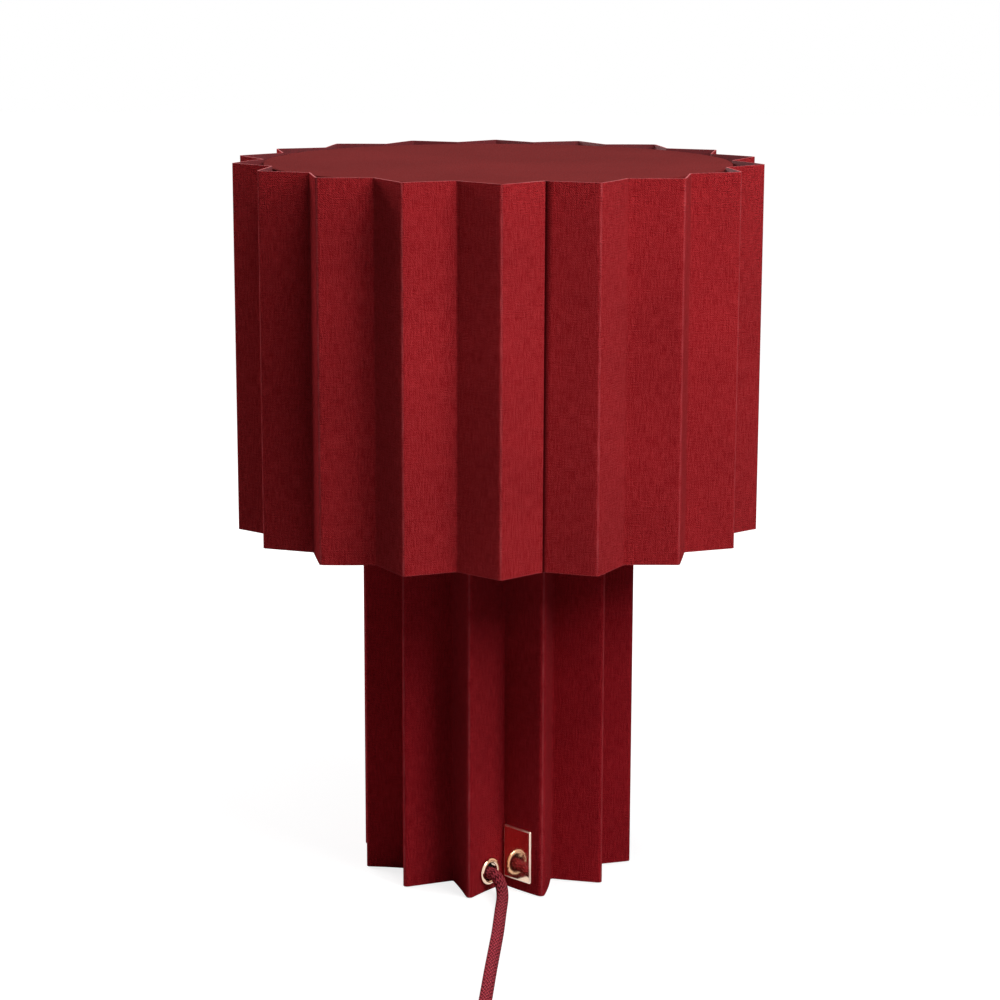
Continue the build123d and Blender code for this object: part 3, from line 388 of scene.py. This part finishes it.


# %% [markdown]
# The folded line gets its height here. A real panel is never quite flat, so each one bows by
# a few tenths of a millimetre, more in its middle than at its folds. At the seam the cut edge
# runs a little askew. The strip of the tab that it bares, and the foot of the next panel, lie
# in a groove that widens upwards, and the cloth there is painted dark as the shade in that
# groove. Every point knows how far it is from the nearest ridge and rim, and how deep it lies
# in that groove.


# %% Pleated sheet
def pleated_sheet(name, body, size, bottom, height, rows, seed):
    """A closed mesh of a folded sheet: each point of the folded line, moved out by the bow of
    its panel and by half the sheet's thickness to either side, at each of the rows' heights."""
    corners = sheet_corners(*size)
    line, panel = folded_line(corners)
    distance = along_line(line)
    ahead = np.gradient(line, axis=0)
    ahead /= np.linalg.norm(ahead, axis=1, keepdims=True)
    outward = np.stack([ahead[:, 1], -ahead[:, 0]], axis=1)
    whole = np.floor(panel).astype(int)
    folds = np.interp(np.arange(len(corners) - 2) + 0.5, panel, distance)
    ridges, valleys = folds[1::2], folds[0::2]
    to_ridge = np.abs(distance[:, None] - ridges[None]).min(axis=1)
    to_valley = np.abs(distance[:, None] - valleys[None]).min(axis=1)

    random = np.random.default_rng(seed)
    bow = random.uniform(-PANEL_BOW, PANEL_BOW, len(corners))
    bow[[0, -1, -2]] = 0
    phase = random.uniform(0, 2 * pi, len(corners))
    across = np.minimum(to_ridge, to_valley) / (to_ridge + to_valley)
    level = np.linspace(0, 1, rows)
    wave = 1 + 0.5 * np.sin(3 * level[:, None] + phase[whole])
    lift = bow[whole] * np.sin(pi * across) * wave
    middle = line[None] + outward[None] * lift[:, :, None]

    last = whole == len(corners) - 2
    share = np.where(last, distance - distance[last][0], 0) / (distance[-1] - distance[last][0])
    middle += ahead[None] * (SEAM_CLOSES * share * level[:, None])[:, :, None]
    reach = np.interp(level, (0, 1), SEAM_SHADE)[:, None]
    past_seam = (distance[None] - folds[0]) / np.where(distance < folds[0], SEAM_LAP, reach)

    rise = np.broadcast_to((bottom + height * level)[:, None, None], (rows, len(line), 1))
    points = np.concatenate(
        [
            np.concatenate([middle + outward[None] * offset, rise], axis=2)
            for offset in (SHEET / 2, -SHEET / 2)
        ]
    )
    uv = np.stack(np.broadcast_arrays(distance[None], (height * level)[:, None]), axis=-1)
    to_rim = np.repeat(np.minimum(level, 1 - level) * height, len(line))
    facts = {
        "to_ridge": np.tile(to_ridge, 2 * rows) * MM,
        "past_seam": np.tile(past_seam.ravel(), 2),
        "to_rim": np.tile(to_rim, 2) * MM,
    }
    faces, slots = shell_faces(rows, len(line))
    uv = np.concatenate([uv, uv]).reshape(-1, 2) * MM
    piece = mesh_piece(name, points * MM, faces, body, uv=uv, facts=facts)
    for _ in range(slots.max() + 1):
        piece.data.materials.append(None)
    piece.data.polygons.foreach_set("material_index", slots)
    print(name, "flat", round(distance[-1]), "by", height, "mm,", len(faces), "faces")
    return piece, distance[-1] * MM


# %% [markdown]
# The shade's wall has eighteen pleats. The numbers of a wall are the radius of its ridges, the
# depth of its pleats, the number of pleats, the turn of its first ridge in degrees, and the
# corner where its seam lies, counted from that ridge.

# %% Shade wall
SHADE_SIZE = (136.0, 16.0, 18, 1.05, 1)
SHADE_HEIGHT = 187.4
shade_sheet, shade_flat = pleated_sheet(
    "shade_sheet", "shade", SHADE_SIZE, bottom=183.8, height=SHADE_HEIGHT, rows=25, seed=4
)
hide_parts("shade_pleats")

# %% [markdown]
# The column is the same kind of sheet with fewer and deeper pleats. A round hole is cut in
# the panel beside the middle valley for the eyelet, square to that panel. A Boolean does it,
# because the hole's edge crosses the rows and columns of the grid.

# %% Column wall
COLUMN_SIZE = (74.7, 23.7, 12, -10.8, 13)
COLUMN_HEIGHT = 191.0
EYELET_WAY = (0.7856, -0.6188, 0.0)
HOLE_RADIUS = 5.35
HOLE_REACH = 3
HOLE_SIDES = 48
column_sheet, column_flat = pleated_sheet(
    "column_sheet", "base", COLUMN_SIZE, bottom=0.6, height=COLUMN_HEIGHT, rows=27, seed=9
)
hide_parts("column_pleats")

hole_turn = np.linspace(0, 2 * pi, HOLE_SIDES, endpoint=False)[:, None]
hole_along = np.cross((0, 0, 1), EYELET_WAY)
ring = HOLE_RADIUS * (np.cos(hole_turn) * hole_along + np.sin(hole_turn) * (0, 0, 1))
ends = [ring + np.multiply(EYELET_WAY, depth) for depth in (-HOLE_REACH, HOLE_REACH)]
punch_mesh = bpy.data.meshes.new("punch")
punch_mesh.from_pydata(
    (np.concatenate(ends) + EXIT + (0, 0, CORD_SAG)) * MM,
    [],
    grid_faces(2, HOLE_SIDES, close=True).tolist()
    + [list(range(HOLE_SIDES))[::-1], list(range(HOLE_SIDES, 2 * HOLE_SIDES))],
)
punch = bpy.data.objects.new("punch", punch_mesh)
bpy.context.collection.objects.link(punch)
cut = column_sheet.modifiers.new("eyelet hole", "BOOLEAN")
cut.object = punch
cut.operation = "DIFFERENCE"
bpy.context.view_layer.update()
cut_mesh = bpy.data.meshes.new_from_object(
    column_sheet.evaluated_get(bpy.context.evaluated_depsgraph_get())
)
column_sheet.modifiers.clear()
column_sheet.data = cut_mesh
bpy.data.objects.remove(punch)
print("column sheet after the hole is cut:", len(cut_mesh.polygons), "faces")

# %% [markdown]
# The brass plate beside the eyelet catches the light along its edges. The CAD node's sharp
# edges would stay dark, and a Bevel modifier would round its loose triangles badly, so a new
# plate is built from one outline that shrinks as it rises. Its place and size are read off the
# node: the width lies along the node's longer level direction.

# %% Plate
PLATE_INSETS = (0.0, 0.0, 0.06, 0.22, 0.42, 0.62, 0.90)
PLATE_DEPTHS = (0.0, 0.62, 0.86, 1.05, 1.15, 1.19, 1.20)
PLATE_CORNER = 1.0
CORNER_STEPS = 6


def rounded_outline(width, height, corner):
    """Points round a rectangle whose corners are arcs, anticlockwise: one quarter circle,
    turned by a quarter for each corner and moved there."""
    swing = np.linspace(0, pi / 2, CORNER_STEPS)
    quarter = corner * np.stack([np.cos(swing), np.sin(swing)], axis=-1)
    points = []
    for turn, side, up in ((0, 1, 1), (1, -1, 1), (2, -1, -1), (3, 1, -1)):
        cosine, sine = round(np.cos(turn * pi / 2)), round(np.sin(turn * pi / 2))
        bent = quarter @ np.array([[cosine, sine], [-sine, cosine]])
        points.append(bent + (side * (width / 2 - corner), up * (height / 2 - corner)))
    return np.concatenate(points)


cad_plate = nodes["brass_plate"]
places = np.array([cad_plate.matrix_world @ corner.co for corner in cad_plate.data.vertices])
centre = (places.min(axis=0) + places.max(axis=0)) / 2
level_way = np.linalg.svd((places - centre)[:, :2], full_matrices=False)[2][0]
level_way *= np.sign(level_way[0])
wide, proud = np.r_[level_way, 0], np.r_[level_way[1], -level_way[0], 0]
width, height, thickness = (np.ptp(places @ way) / MM for way in (wide, (0, 0, 1), proud))
print("plate is", np.round([width, height, thickness], 1), "mm")
outlines = []
for inset, depth in zip(PLATE_INSETS, PLATE_DEPTHS):
    flat = rounded_outline(width - 2 * inset, height - 2 * inset, PLATE_CORNER - inset)
    outline = np.outer(flat[:, 0], wide) + np.outer(flat[:, 1], (0, 0, 1))
    outlines.append(outline + proud * (depth - thickness / 2))
points_round = len(outlines[0])
rim_faces = grid_faces(len(outlines), points_round, close=True).tolist()
last_outline = (len(outlines) - 1) * points_round
back = list(range(points_round))[::-1]
front = list(range(last_outline, last_outline + points_round))
points = np.array(outlines) * MM + centre
plate = mesh_piece("plate", points, rim_faces + [back, front], "base", sharp=80.0)
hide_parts("brass_plate")

# %% [markdown]
# The round covers are cloth pulled over a board. The cloth runs over the board's edge in a
# small curve and down its side, and it dips by a hair where the glue has pulled it. It is a
# profile turned round the lamp's axis, with the dips added to its flat part.

# %% Covered discs
COVER_SIDES = 320
COVER_RINGS = 36
COVER_CURVE = 0.7
DIP_WAVES = (1, 2, 3, 5)


def cover_cloth(name, body, top, outside, inside, drop, seed, closed=False):
    """A round sheet of cloth: a flat top, a quarter curve and a short turned-down side. At
    the radius r and the angle a, each dip wave k adds a depth of 1 + sin(k a + 0.07 r + k)."""
    curve = np.linspace(0, pi / 2, 5)[1:]
    edge = COVER_CURVE
    flat = np.linspace(inside, outside - edge, COVER_RINGS)
    radii = np.r_[flat, outside - edge + edge * np.sin(curve), outside]
    depth = np.r_[np.zeros(COVER_RINGS), edge * (1 - np.cos(curve)), drop]
    turn = np.linspace(0, 2 * pi, COVER_SIDES, endpoint=False)
    random = np.random.default_rng(seed)
    dip = sum(
        random.uniform(0.01, 0.03) * (1 + np.sin(k * turn[None] + radii[:, None] * 0.07 + k))
        for k in DIP_WAVES
    )
    dip *= (depth == 0)[:, None]
    x = radii[:, None] * np.cos(turn)[None]
    y = radii[:, None] * np.sin(turn)[None]
    points = np.stack([x, y, top - depth[:, None] - dip], axis=-1)
    faces = grid_faces(len(radii), COVER_SIDES, close=True)[:, ::-1].tolist()
    if closed:
        faces.append(list(range(COVER_SIDES)))
    uv = np.stack([x, y], axis=-1).reshape(-1, 2) * MM
    piece = mesh_piece(name, points * MM, faces, body, uv=uv, sharp=80.0)
    print(name, "is", round(2 * outside), "mm across,", len(faces), "faces")
    return piece


shade_cover = cover_cloth(
    "shade_cover", "shade", top=370.2, outside=119.37, inside=2.0, drop=2.6, seed=3, closed=True
)
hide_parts("shade_top_cloth")
column_cover = cover_cloth(
    "column_cover", "base", top=190.6, outside=50.76, inside=5.15, drop=5.2, seed=5
)
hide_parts("column_top_cloth")

# %% [markdown]
# Materials are built from nodes, because pictures of cloth would show their joins and their
# pixels up close. A short helper adds a node and links or sets its inputs, and another does
# arithmetic on sockets. With them a weave can be written almost as a formula.


# %% Node helpers
def material(name):
    """A new node material, its node tree and its Principled shader."""
    made = bpy.data.materials.new(name)
    made.use_nodes = True
    return made, made.node_tree, made.node_tree.nodes["Principled BSDF"]


def node(tree, kind, inputs=None, **settings):
    """Adds a node. inputs maps a socket's name or number to a value or another socket."""
    made = tree.nodes.new("ShaderNode" + kind)
    for setting, value in settings.items():
        setattr(made, setting, value)
    for socket, value in (inputs or {}).items():
        if isinstance(value, bpy.types.NodeSocket):
            tree.links.new(value, made.inputs[socket])
        else:
            made.inputs[socket].default_value = value
    return made


def sums(tree, operation, first, second=0.0, third=0.0):
    """The result of a Math node."""
    return node(tree, "Math", {0: first, 1: second, 2: third}, operation=operation).outputs[0]


def blended(tree, share, first, second):
    """A colour between two others, by a share from 0 to 1."""
    made = node(tree, "Mix", {0: share}, data_type="RGBA")
    for socket, value in ((6, first), (7, second)):
        if isinstance(value, bpy.types.NodeSocket):
            tree.links.new(value, made.inputs[socket])
        else:
            made.inputs[socket].default_value = (*value, 1)
    return made.outputs[2]


def scaled(tree, value, low, high, to_low, to_high):
    """A value brought from one range into another, and kept inside it."""
    ranges = {0: value, 1: low, 2: high, 3: to_low, 4: to_high}
    return node(tree, "MapRange", ranges).outputs[0]


def noise(tree, vector, scale, detail=3.0, stretch=(1, 1, 1)):
    """Cloudy noise from 0 to 1, with its coordinates stretched where that is wanted."""
    placed = node(tree, "Mapping", {"Vector": vector, "Scale": stretch}).outputs[0]
    settings = {"Vector": placed, "Scale": scale, "Detail": detail}
    return node(tree, "TexNoise", settings).outputs[0]


# %% [markdown]
# Metals, plastics, boards and ceramics share one recipe: two colours mixed by fine noise,
# a roughness that varies with coarser noise, as if from handling, and a bump of the right
# grain. One plain colour would look like a toy's, and the recipe keeps the finishes alike.
# The numbers make the difference between polished brass and a raw casting.


# %% Plain surfaces
def surface(name, first, second, rough, scale, bump, metallic=0.0, stretch=(1, 1, 1), **extra):
    """A material with grain. rough is the lowest and highest roughness, and scale the number
    of grains per metre. extra sets other inputs of the shader by name."""
    made, tree, shader = material(name)
    vector = node(tree, "TexCoord").outputs["Object"]
    grain = noise(tree, vector, scale, stretch=stretch)
    smudge = noise(tree, vector, 60.0, detail=5.0)
    colour = blended(tree, scaled(tree, grain, 0.3, 0.7, 0, 1), first, second)
    tree.links.new(colour, shader.inputs["Base Color"])
    tree.links.new(scaled(tree, smudge, 0.35, 0.7, *rough), shader.inputs["Roughness"])
    shader.inputs["Metallic"].default_value = metallic
    raised = node(tree, "Bump", {"Strength": bump, "Distance": 0.0002, "Height": grain})
    tree.links.new(raised.outputs[0], shader.inputs["Normal"])
    for socket, value in extra.items():
        shader.inputs[socket.replace("_", " ")].default_value = value
    return made


# %% [markdown]
# Book cloth is a plain weave of uneven threads, glued on card. The threads are two crossed
# rows of waves, and noise stretched along them makes the slubs: each row of the table below
# has a share of the height, the number of slubs per metre and their stretch. The upright
# threads show most. Raised threads are pale and the gaps between them deep red, partly the
# yarn's uneven tone and partly shade painted into the gaps. Ridges and rims are paler still,
# as wear and as a painted highlight, and the groove at the seam is painted dark as shade.


# %% Cloth
THREAD = 0.0011  # metres from one thread to the next but one
THREAD_DRIFT = 0.0012
THREAD_SHARE = 0.05
SLUBS = [
    (0.32, 1300.0, (1.0, 0.12, 1.0)),
    (0.50, 1900.0, (1.0, 0.90, 1.0)),
    (0.18, 1700.0, (0.08, 1.0, 1.0)),
]
SLUB_RELIEF = 0.0019
# Ridges and rims are painted paler, as wear and as a highlight.
WEAR_AND_PAINTED_HIGHLIGHT = (0.55, 0.09, 0.10)
# The colour painted into the seam's groove as its shade.
SEAM_PAINTED_SHADE = (0.05, 0.001, 0.002)


def woven(tree, vector):
    """The height of a woven surface from 0 to 1, from coordinates in metres: the sine of one
    coordinate times the sine of the other, plus the slubs."""
    split = node(tree, "SeparateXYZ", {0: vector})
    drift = sums(tree, "MULTIPLY", noise(tree, vector, 90.0), THREAD_DRIFT)
    waves = []
    for way in (0, 1):
        place = sums(tree, "ADD", split.outputs[way], drift)
        waves.append(sums(tree, "SINE", sums(tree, "MULTIPLY", place, 2 * pi / THREAD)))
    height = sums(tree, "MULTIPLY", sums(tree, "MULTIPLY", *waves), THREAD_SHARE)
    for share, scale, stretch in SLUBS:
        slub = noise(tree, vector, scale, detail=2.0, stretch=stretch)
        height = sums(tree, "MULTIPLY_ADD", slub, share, height)
    return height


def finish_cloth(tree, shader, colour, height, vector, bump):
    """Joins colour, sheen, roughness and bump to a cloth's shader."""
    patchy = scaled(tree, noise(tree, vector, 14.0), 0.3, 0.7, 0.90, 1.08)
    toned = node(tree, "HueSaturation", {"Value": patchy, "Color": colour}).outputs[0]
    tree.links.new(toned, shader.inputs["Base Color"])
    tree.links.new(scaled(tree, height, 0.3, 0.7, 0.85, 0.65), shader.inputs["Roughness"])
    shader.inputs["Specular IOR Level"].default_value = 0.0
    shader.inputs["Sheen Weight"].default_value = 0.03
    shader.inputs["Sheen Roughness"].default_value = 0.5
    shader.inputs["Sheen Tint"].default_value = (1.0, 0.6, 0.6, 1)
    raised = node(tree, "Bump", {"Strength": bump, "Distance": SLUB_RELIEF, "Height": height})
    tree.links.new(raised.outputs[0], shader.inputs["Normal"])


def pleat_cloth(name, pale, deep, wear_and_highlight_colour):
    """Cloth of the pleated walls, paler on its ridges and along its cut rims."""
    made, tree, shader = material(name)
    vector = node(tree, "UVMap", uv_map="cloth").outputs[0]
    height = woven(tree, vector)
    # Paler on raised threads, darker in the gaps: partly the yarn's uneven tone, partly shade
    # painted into the gaps.
    colour = blended(tree, scaled(tree, height, 0.4, 0.6, 0, 1), deep, pale)
    fact = {
        name: node(tree, "Attribute", attribute_name=name).outputs["Fac"]
        for name in ("to_ridge", "to_rim", "past_seam")
    }
    uneven = noise(tree, vector, 260.0, stretch=(1.0, 0.4, 1.0))
    # Paler ridges and rims: wear and a painted highlight.
    near_ridge = scaled(tree, fact["to_ridge"], 0.0002, 0.0009, 1, 0)
    near_rim = scaled(tree, fact["to_rim"], 0.0001, 0.0006, 1, 0)
    wear_and_highlight_share = sums(tree, "MULTIPLY", sums(tree, "MAXIMUM", near_ridge, near_rim), uneven)
    colour = blended(tree, scaled(tree, wear_and_highlight_share, 0.2, 0.8, 0, 0.6), colour, wear_and_highlight_colour)
    # The seam's groove is painted dark as shade.
    painted_groove_shade = scaled(tree, fact["past_seam"], 0.25, 1.0, 1, 0)
    colour = blended(tree, painted_groove_shade, colour, SEAM_PAINTED_SHADE)
    finish_cloth(tree, shader, colour, height, vector, 1.0)
    return made


shade_cloth = pleat_cloth("shade cloth", (0.48, 0.031, 0.036), (0.27, 0.008, 0.012), WEAR_AND_PAINTED_HIGHLIGHT)
# The column's copy of the cloth has less green and blue: a deeper red that paints in the shade
# and the red light from the lampshade above it.
shaded_column_cloth = pleat_cloth("column cloth with painted shade", (0.48, 0.021, 0.029), (0.27, 0.005, 0.011), WEAR_AND_PAINTED_HIGHLIGHT)

# %% [markdown]
# The sheet's rim shows the raw card between its layers, with fibres that run upright, and its
# inside is painted a dark red, as the shade that falls within the walls. Both are hardly seen,
# but the rim draws a fine pale line round every pleat from above.

# %% Cut edge and painted shade inside
cut_edge, tree, shader = material("cut edge of the sheet")
fibres = noise(tree, node(tree, "TexCoord").outputs["Object"], 1500.0, stretch=(1, 1, 0.2))
card = blended(tree, fibres, (0.25, 0.012, 0.02), (0.45, 0.07, 0.07))
tree.links.new(card, shader.inputs["Base Color"])
shader.inputs["Roughness"].default_value = 0.85
# The inside of the sheet is painted dark red as the shade inside the walls.
shaded_inside = surface(
    "painted shade inside the sheet", (0.10, 0.003, 0.006), (0.15, 0.005, 0.009), (0.7, 0.85), 900, 0.3
)
for sheet, wall_cloth in ((shade_sheet, shade_cloth), (column_sheet, shaded_column_cloth)):
    for slot, finish in zip(sheet.material_slots, (wall_cloth, cut_edge, shaded_inside)):
        slot.material = finish
print("the walls have", len(shade_sheet.material_slots), "finishes each")

# %% [markdown]
# The discs are covered with the same kind of cloth, stretched flat, so its threads stand up
# less and it looks smoother and more even than the pleats do. Its colour is a duller red than
# the pleats', with the pale sheen of the flat top at a grazing view painted into it.

# %% Disc cloth
disc_cloth_painted_sheen, tree, shader = material("disc cloth with painted sheen")
vector = node(tree, "UVMap", uv_map="cloth").outputs[0]
height = woven(tree, vector)
raised_share = scaled(tree, height, 0.4, 0.6, 0, 1)
# A duller red than the pleats: the pale sheen of the flat top is painted in.
colour = blended(tree, raised_share, (0.135, 0.0128, 0.0128), (0.160, 0.0180, 0.0180))
finish_cloth(tree, shader, colour, height, vector, 0.3)
for cover in (shade_cover, column_cover):
    cover.data.materials.append(disc_cloth_painted_sheen)
    print(cover.name, "is covered with", disc_cloth_painted_sheen.name)

# %% [markdown]
# The cord's cover is a braid: two families of strands wind round it in opposite ways and
# pass over and under each other. Modelled strands would need millions of faces, so they are
# drawn on the cord's UV: each family is a row of arches, and which one is on top changes from
# one diamond to the next. The colour is darker where a strand dips under the other, as painted
# shade, and pale specks are painted glints where single fibres catch the light.

# %% Braid
STRANDS = 12
STRANDS_PER_METRE = 220
braid, tree, shader = material("braid")
vector = node(tree, "UVMap", uv_map="cloth").outputs[0]
split = node(tree, "SeparateXYZ", {0: vector})
turned_by = sums(tree, "MULTIPLY", split.outputs[0], STRANDS)
run_by = sums(tree, "MULTIPLY", split.outputs[1], STRANDS_PER_METRE)
one_way = sums(tree, "ADD", turned_by, run_by)
other_way = sums(tree, "SUBTRACT", turned_by, run_by)
rounds = [
    sums(tree, "ABSOLUTE", sums(tree, "SINE", sums(tree, "MULTIPLY", way, pi)))
    for way in (one_way, other_way)
]
cells = sums(tree, "ADD", sums(tree, "FLOOR", one_way), sums(tree, "FLOOR", other_way))
on_top = sums(tree, "FLOORED_MODULO", cells, 2.0)
weave_height = node(tree, "Mix", {0: on_top, 2: rounds[0], 3: rounds[1]}).outputs[0]
fibres_and_painted_glints = noise(tree, node(tree, "TexCoord").outputs["Object"], 2600.0)
# Painted shade: darker where a strand dips under the other.
colour = blended(tree, weave_height, (0.11, 0.003, 0.007), (0.50, 0.047, 0.070))
# Painted glints: pale specks where single fibres catch the light.
colour = blended(tree, scaled(tree, fibres_and_painted_glints, 0.5, 0.75, 0, 0.5), colour, (0.65, 0.22, 0.26))
tree.links.new(colour, shader.inputs["Base Color"])
shader.inputs["Roughness"].default_value = 0.6
shader.inputs["Specular IOR Level"].default_value = 0.0
shader.inputs["Sheen Weight"].default_value = 0.03
shader.inputs["Sheen Tint"].default_value = (1.0, 0.5, 0.5, 1)
braid_height = sums(tree, "MULTIPLY_ADD", fibres_and_painted_glints, 0.3, weave_height)
raised = node(tree, "Bump", {"Strength": 1.0, "Distance": 0.0011, "Height": braid_height})
tree.links.new(raised.outputs[0], shader.inputs["Normal"])
for cord in (cord_to_switch, cord_to_plug):
    cord.data.materials.append(braid)
nodes["inner_lead"].material_slots[0].material = braid
print("braid of", STRANDS, "strands each way")

# %% [markdown]
# Each finish below is given to the pieces that are made of it. The pieces inside the lamp are
# finished as carefully as those that show, because they show when the shade is lifted.

# %% Finishes
finishes = {
    surface(
        "polished brass", (0.88, 0.64, 0.47), (0.92, 0.70, 0.54), (0.06, 0.14), 700, 0.015, 1.0
    ): ["brass_plate", "cord_eyelet", "eyelet_washer"],
    surface(
        "plain brass", (0.70, 0.50, 0.22), (0.78, 0.58, 0.30), (0.22, 0.38), 900, 0.08, 1.0
    ): ["holder_shell", "holder_contact", "switch_blades"],
    surface(
        "zinc plate", (0.52, 0.53, 0.55), (0.68, 0.68, 0.66), (0.25, 0.42), 1100, 0.12, 1.0
    ): ["cord_clamp", "clamp_screws", "switch_screws", "rocker_pin"]
    + ["nipple", "nipple_nut", "nipple_washer"],
    surface(
        "nickel plate", (0.66, 0.64, 0.60), (0.72, 0.70, 0.66), (0.08, 0.18), 900, 0.03, 1.0
    ): ["plug_prongs"],
    surface(
        "bulb cap", (0.66, 0.67, 0.68), (0.78, 0.78, 0.79), (0.22, 0.36), 800, 0.08, 1.0
    ): ["bulb_cap", "bulb_tip"],
    surface(
        "white enamel", (0.70, 0.70, 0.68), (0.76, 0.76, 0.74), (0.22, 0.34), 500, 0.06
    ): ["gallery_cup", "shade_frame"],
    surface(
        "nylon", (0.74, 0.72, 0.66), (0.80, 0.78, 0.73), (0.42, 0.55), 900, 0.05
    ): ["slip_ring"],
    surface(
        "moulded plastic", (0.018, 0.018, 0.02), (0.032, 0.032, 0.034), (0.38, 0.52), 2600, 0.25
    ): ["switch_lower", "switch_upper", "plug_body", "plug_sleeve", "prong_sleeves"]
    + ["holder_cap", "holder_skirt"],
    surface(
        "rocker plastic", (0.024, 0.024, 0.026), (0.03, 0.03, 0.032), (0.22, 0.34), 1800, 0.08
    ): ["switch_rocker"],
    surface(
        "ceramic", (0.72, 0.70, 0.65), (0.80, 0.78, 0.74), (0.45, 0.62), 1500, 0.15
    ): ["holder_insert"],
    surface(
        "insulating glass", (0.01, 0.01, 0.012), (0.02, 0.02, 0.024), (0.1, 0.2), 900, 0.05
    ): ["bulb_insulator"],
    surface(
        "felt", (0.012, 0.012, 0.014), (0.045, 0.045, 0.05), (0.9, 1.0), 2200, 0.9
    ): ["felt_pad"],
    surface(
        "iron casting", (0.035, 0.036, 0.04), (0.07, 0.07, 0.075), (0.45, 0.65), 700, 0.5
    ): ["weight_plate"],
    surface(
        "fibreboard", (0.34, 0.24, 0.14), (0.47, 0.35, 0.22), (0.75, 0.9), 1200, 0.4
    ): ["column_top_board"],
    surface(
        "greyboard", (0.30, 0.28, 0.25), (0.42, 0.40, 0.36), (0.8, 0.95), 1500, 0.35,
        stretch=(1, 0.3, 1),
    ): ["shade_top_board"],
    surface(
        "opal glass", (0.90, 0.90, 0.88), (0.94, 0.94, 0.92), (0.12, 0.2), 300, 0.02,
        Transmission_Weight=0.1,
    ): ["bulb_glass"],
}
for finish, names in finishes.items():
    for name in names:
        nodes[name].material_slots[0].material = finish
print(len(finishes), "finishes")

# %% [markdown]
# The plate's face mirrors the cord and the floor, and its rounded rim is brushed a little
# duller, so that it shines from every side. Only the new plate is seen, not its CAD node.

# %% Plate finishes
plate.data.materials.append(cad_plate.material_slots[0].material)
plate.data.materials.append(
    surface("satin brass", (0.90, 0.70, 0.56), (0.95, 0.78, 0.66), (0.30, 0.42), 900, 0.05, 1.0)
)
plate.data.polygons.foreach_set("material_index", [1] * len(rim_faces) + [0, 0])
print(len(bpy.data.materials), "materials")

# %% [markdown]
# To the camera the floor and the world look white, as in a cut-out product picture. To the
# lamp itself they are only as bright as a dim studio, or their light would fill the pleats and
# flatten them. Far from the lamp the floor glows pure white, and near it a part of that white
# is left to the lights, so the foot keeps a faint shadow.

# %% Floor and world
FLOOR_WHITENESS = (0.25, 0.55, 0.80, 1.0)  # from this radius to that, from this white to that
WORLD_LIGHT = 0.05


def seen_by(tree, *rays):
    """1 where one of these kinds of ray meets the surface, else 0."""
    path = node(tree, "LightPath").outputs
    seen = path[rays[0]]
    for ray in rays[1:]:
        seen = sums(tree, "MAXIMUM", seen, path[ray])
    return seen


floor_mesh = bpy.data.meshes.new("floor")
floor_mesh.from_pydata([(-6, -6, 0), (6, -6, 0), (6, 6, 0), (-6, 6, 0)], [], [(0, 1, 2, 3)])
floor = bpy.data.objects.new("floor", floor_mesh)
bpy.context.collection.objects.link(floor)
floor_paint, tree, shader = material("floor")
shader.inputs["Base Color"].default_value = (0.35, 0.35, 0.35, 1)
shader.inputs["Roughness"].default_value = 0.9
shader.inputs["Specular IOR Level"].default_value = 0.0
place = node(tree, "TexCoord").outputs["Object"]
radius = node(tree, "VectorMath", {0: place}, operation="LENGTH").outputs["Value"]
whiteness = scaled(tree, radius, *FLOOR_WHITENESS)
seen = seen_by(tree, "Is Camera Ray", "Is Glossy Ray")
glow = node(tree, "Emission", {"Strength": sums(tree, "MULTIPLY", seen, whiteness)})
shown = node(tree, "AddShader", {0: shader.outputs[0], 1: glow.outputs[0]})
tree.links.new(shown.outputs[0], tree.nodes["Material Output"].inputs["Surface"])
floor_mesh.materials.append(floor_paint)

world = bpy.data.worlds.new("studio")
bpy.context.scene.world = world
world.use_nodes = True
tree = world.node_tree
backdrop = tree.nodes["Background"]
direct = seen_by(tree, "Is Camera Ray", "Is Transmission Ray", "Is Glossy Ray")
tree.links.new(scaled(tree, direct, 0, 1, WORLD_LIGHT, 1.0), backdrop.inputs["Strength"])
backdrop.inputs["Color"].default_value = (1, 1, 1, 1)
print("floor whiteness", FLOOR_WHITENESS)

# %% [markdown]
# The photograph's pleats are bright where they face right and dark where they face left, so
# two soft lights stand in front at the right, one high and one low. One behind at the left
# fills the outer pleats on that side, and another keeps the back from going black. The lights
# are half a metre wide, which gives folds of cloth their soft edges.

# %% Lights
LIT_POINT = (0, 0, 0.22)
LIGHT_DISTANCE = 1.15
LIGHT_SIZE = 0.5


def soft_light(name, azimuth, elevation, power):
    """A square area light that points at the lamp from an azimuth and an elevation."""
    light = bpy.data.lights.new(name, "AREA")
    light.size = LIGHT_SIZE
    light.energy = power
    lamp = bpy.data.objects.new(name, light)
    level, rise = np.cos(radians(elevation)), np.sin(radians(elevation))
    place = np.r_[level * direction(azimuth), rise] * LIGHT_DISTANCE
    lamp.location = place + LIT_POINT
    lamp.rotation_euler = (pi / 2 - radians(elevation), 0, radians(azimuth))
    bpy.context.collection.objects.link(lamp)


soft_light("high key", 28, 62, 9.4)
soft_light("low key", 47, 32, 6.7)
soft_light("fill", -120, 25, 7.0)
soft_light("back light", -145, 30, 4.0)
bpy.context.scene.view_settings.view_transform = "Standard"
print(len(bpy.data.lights), "lights")
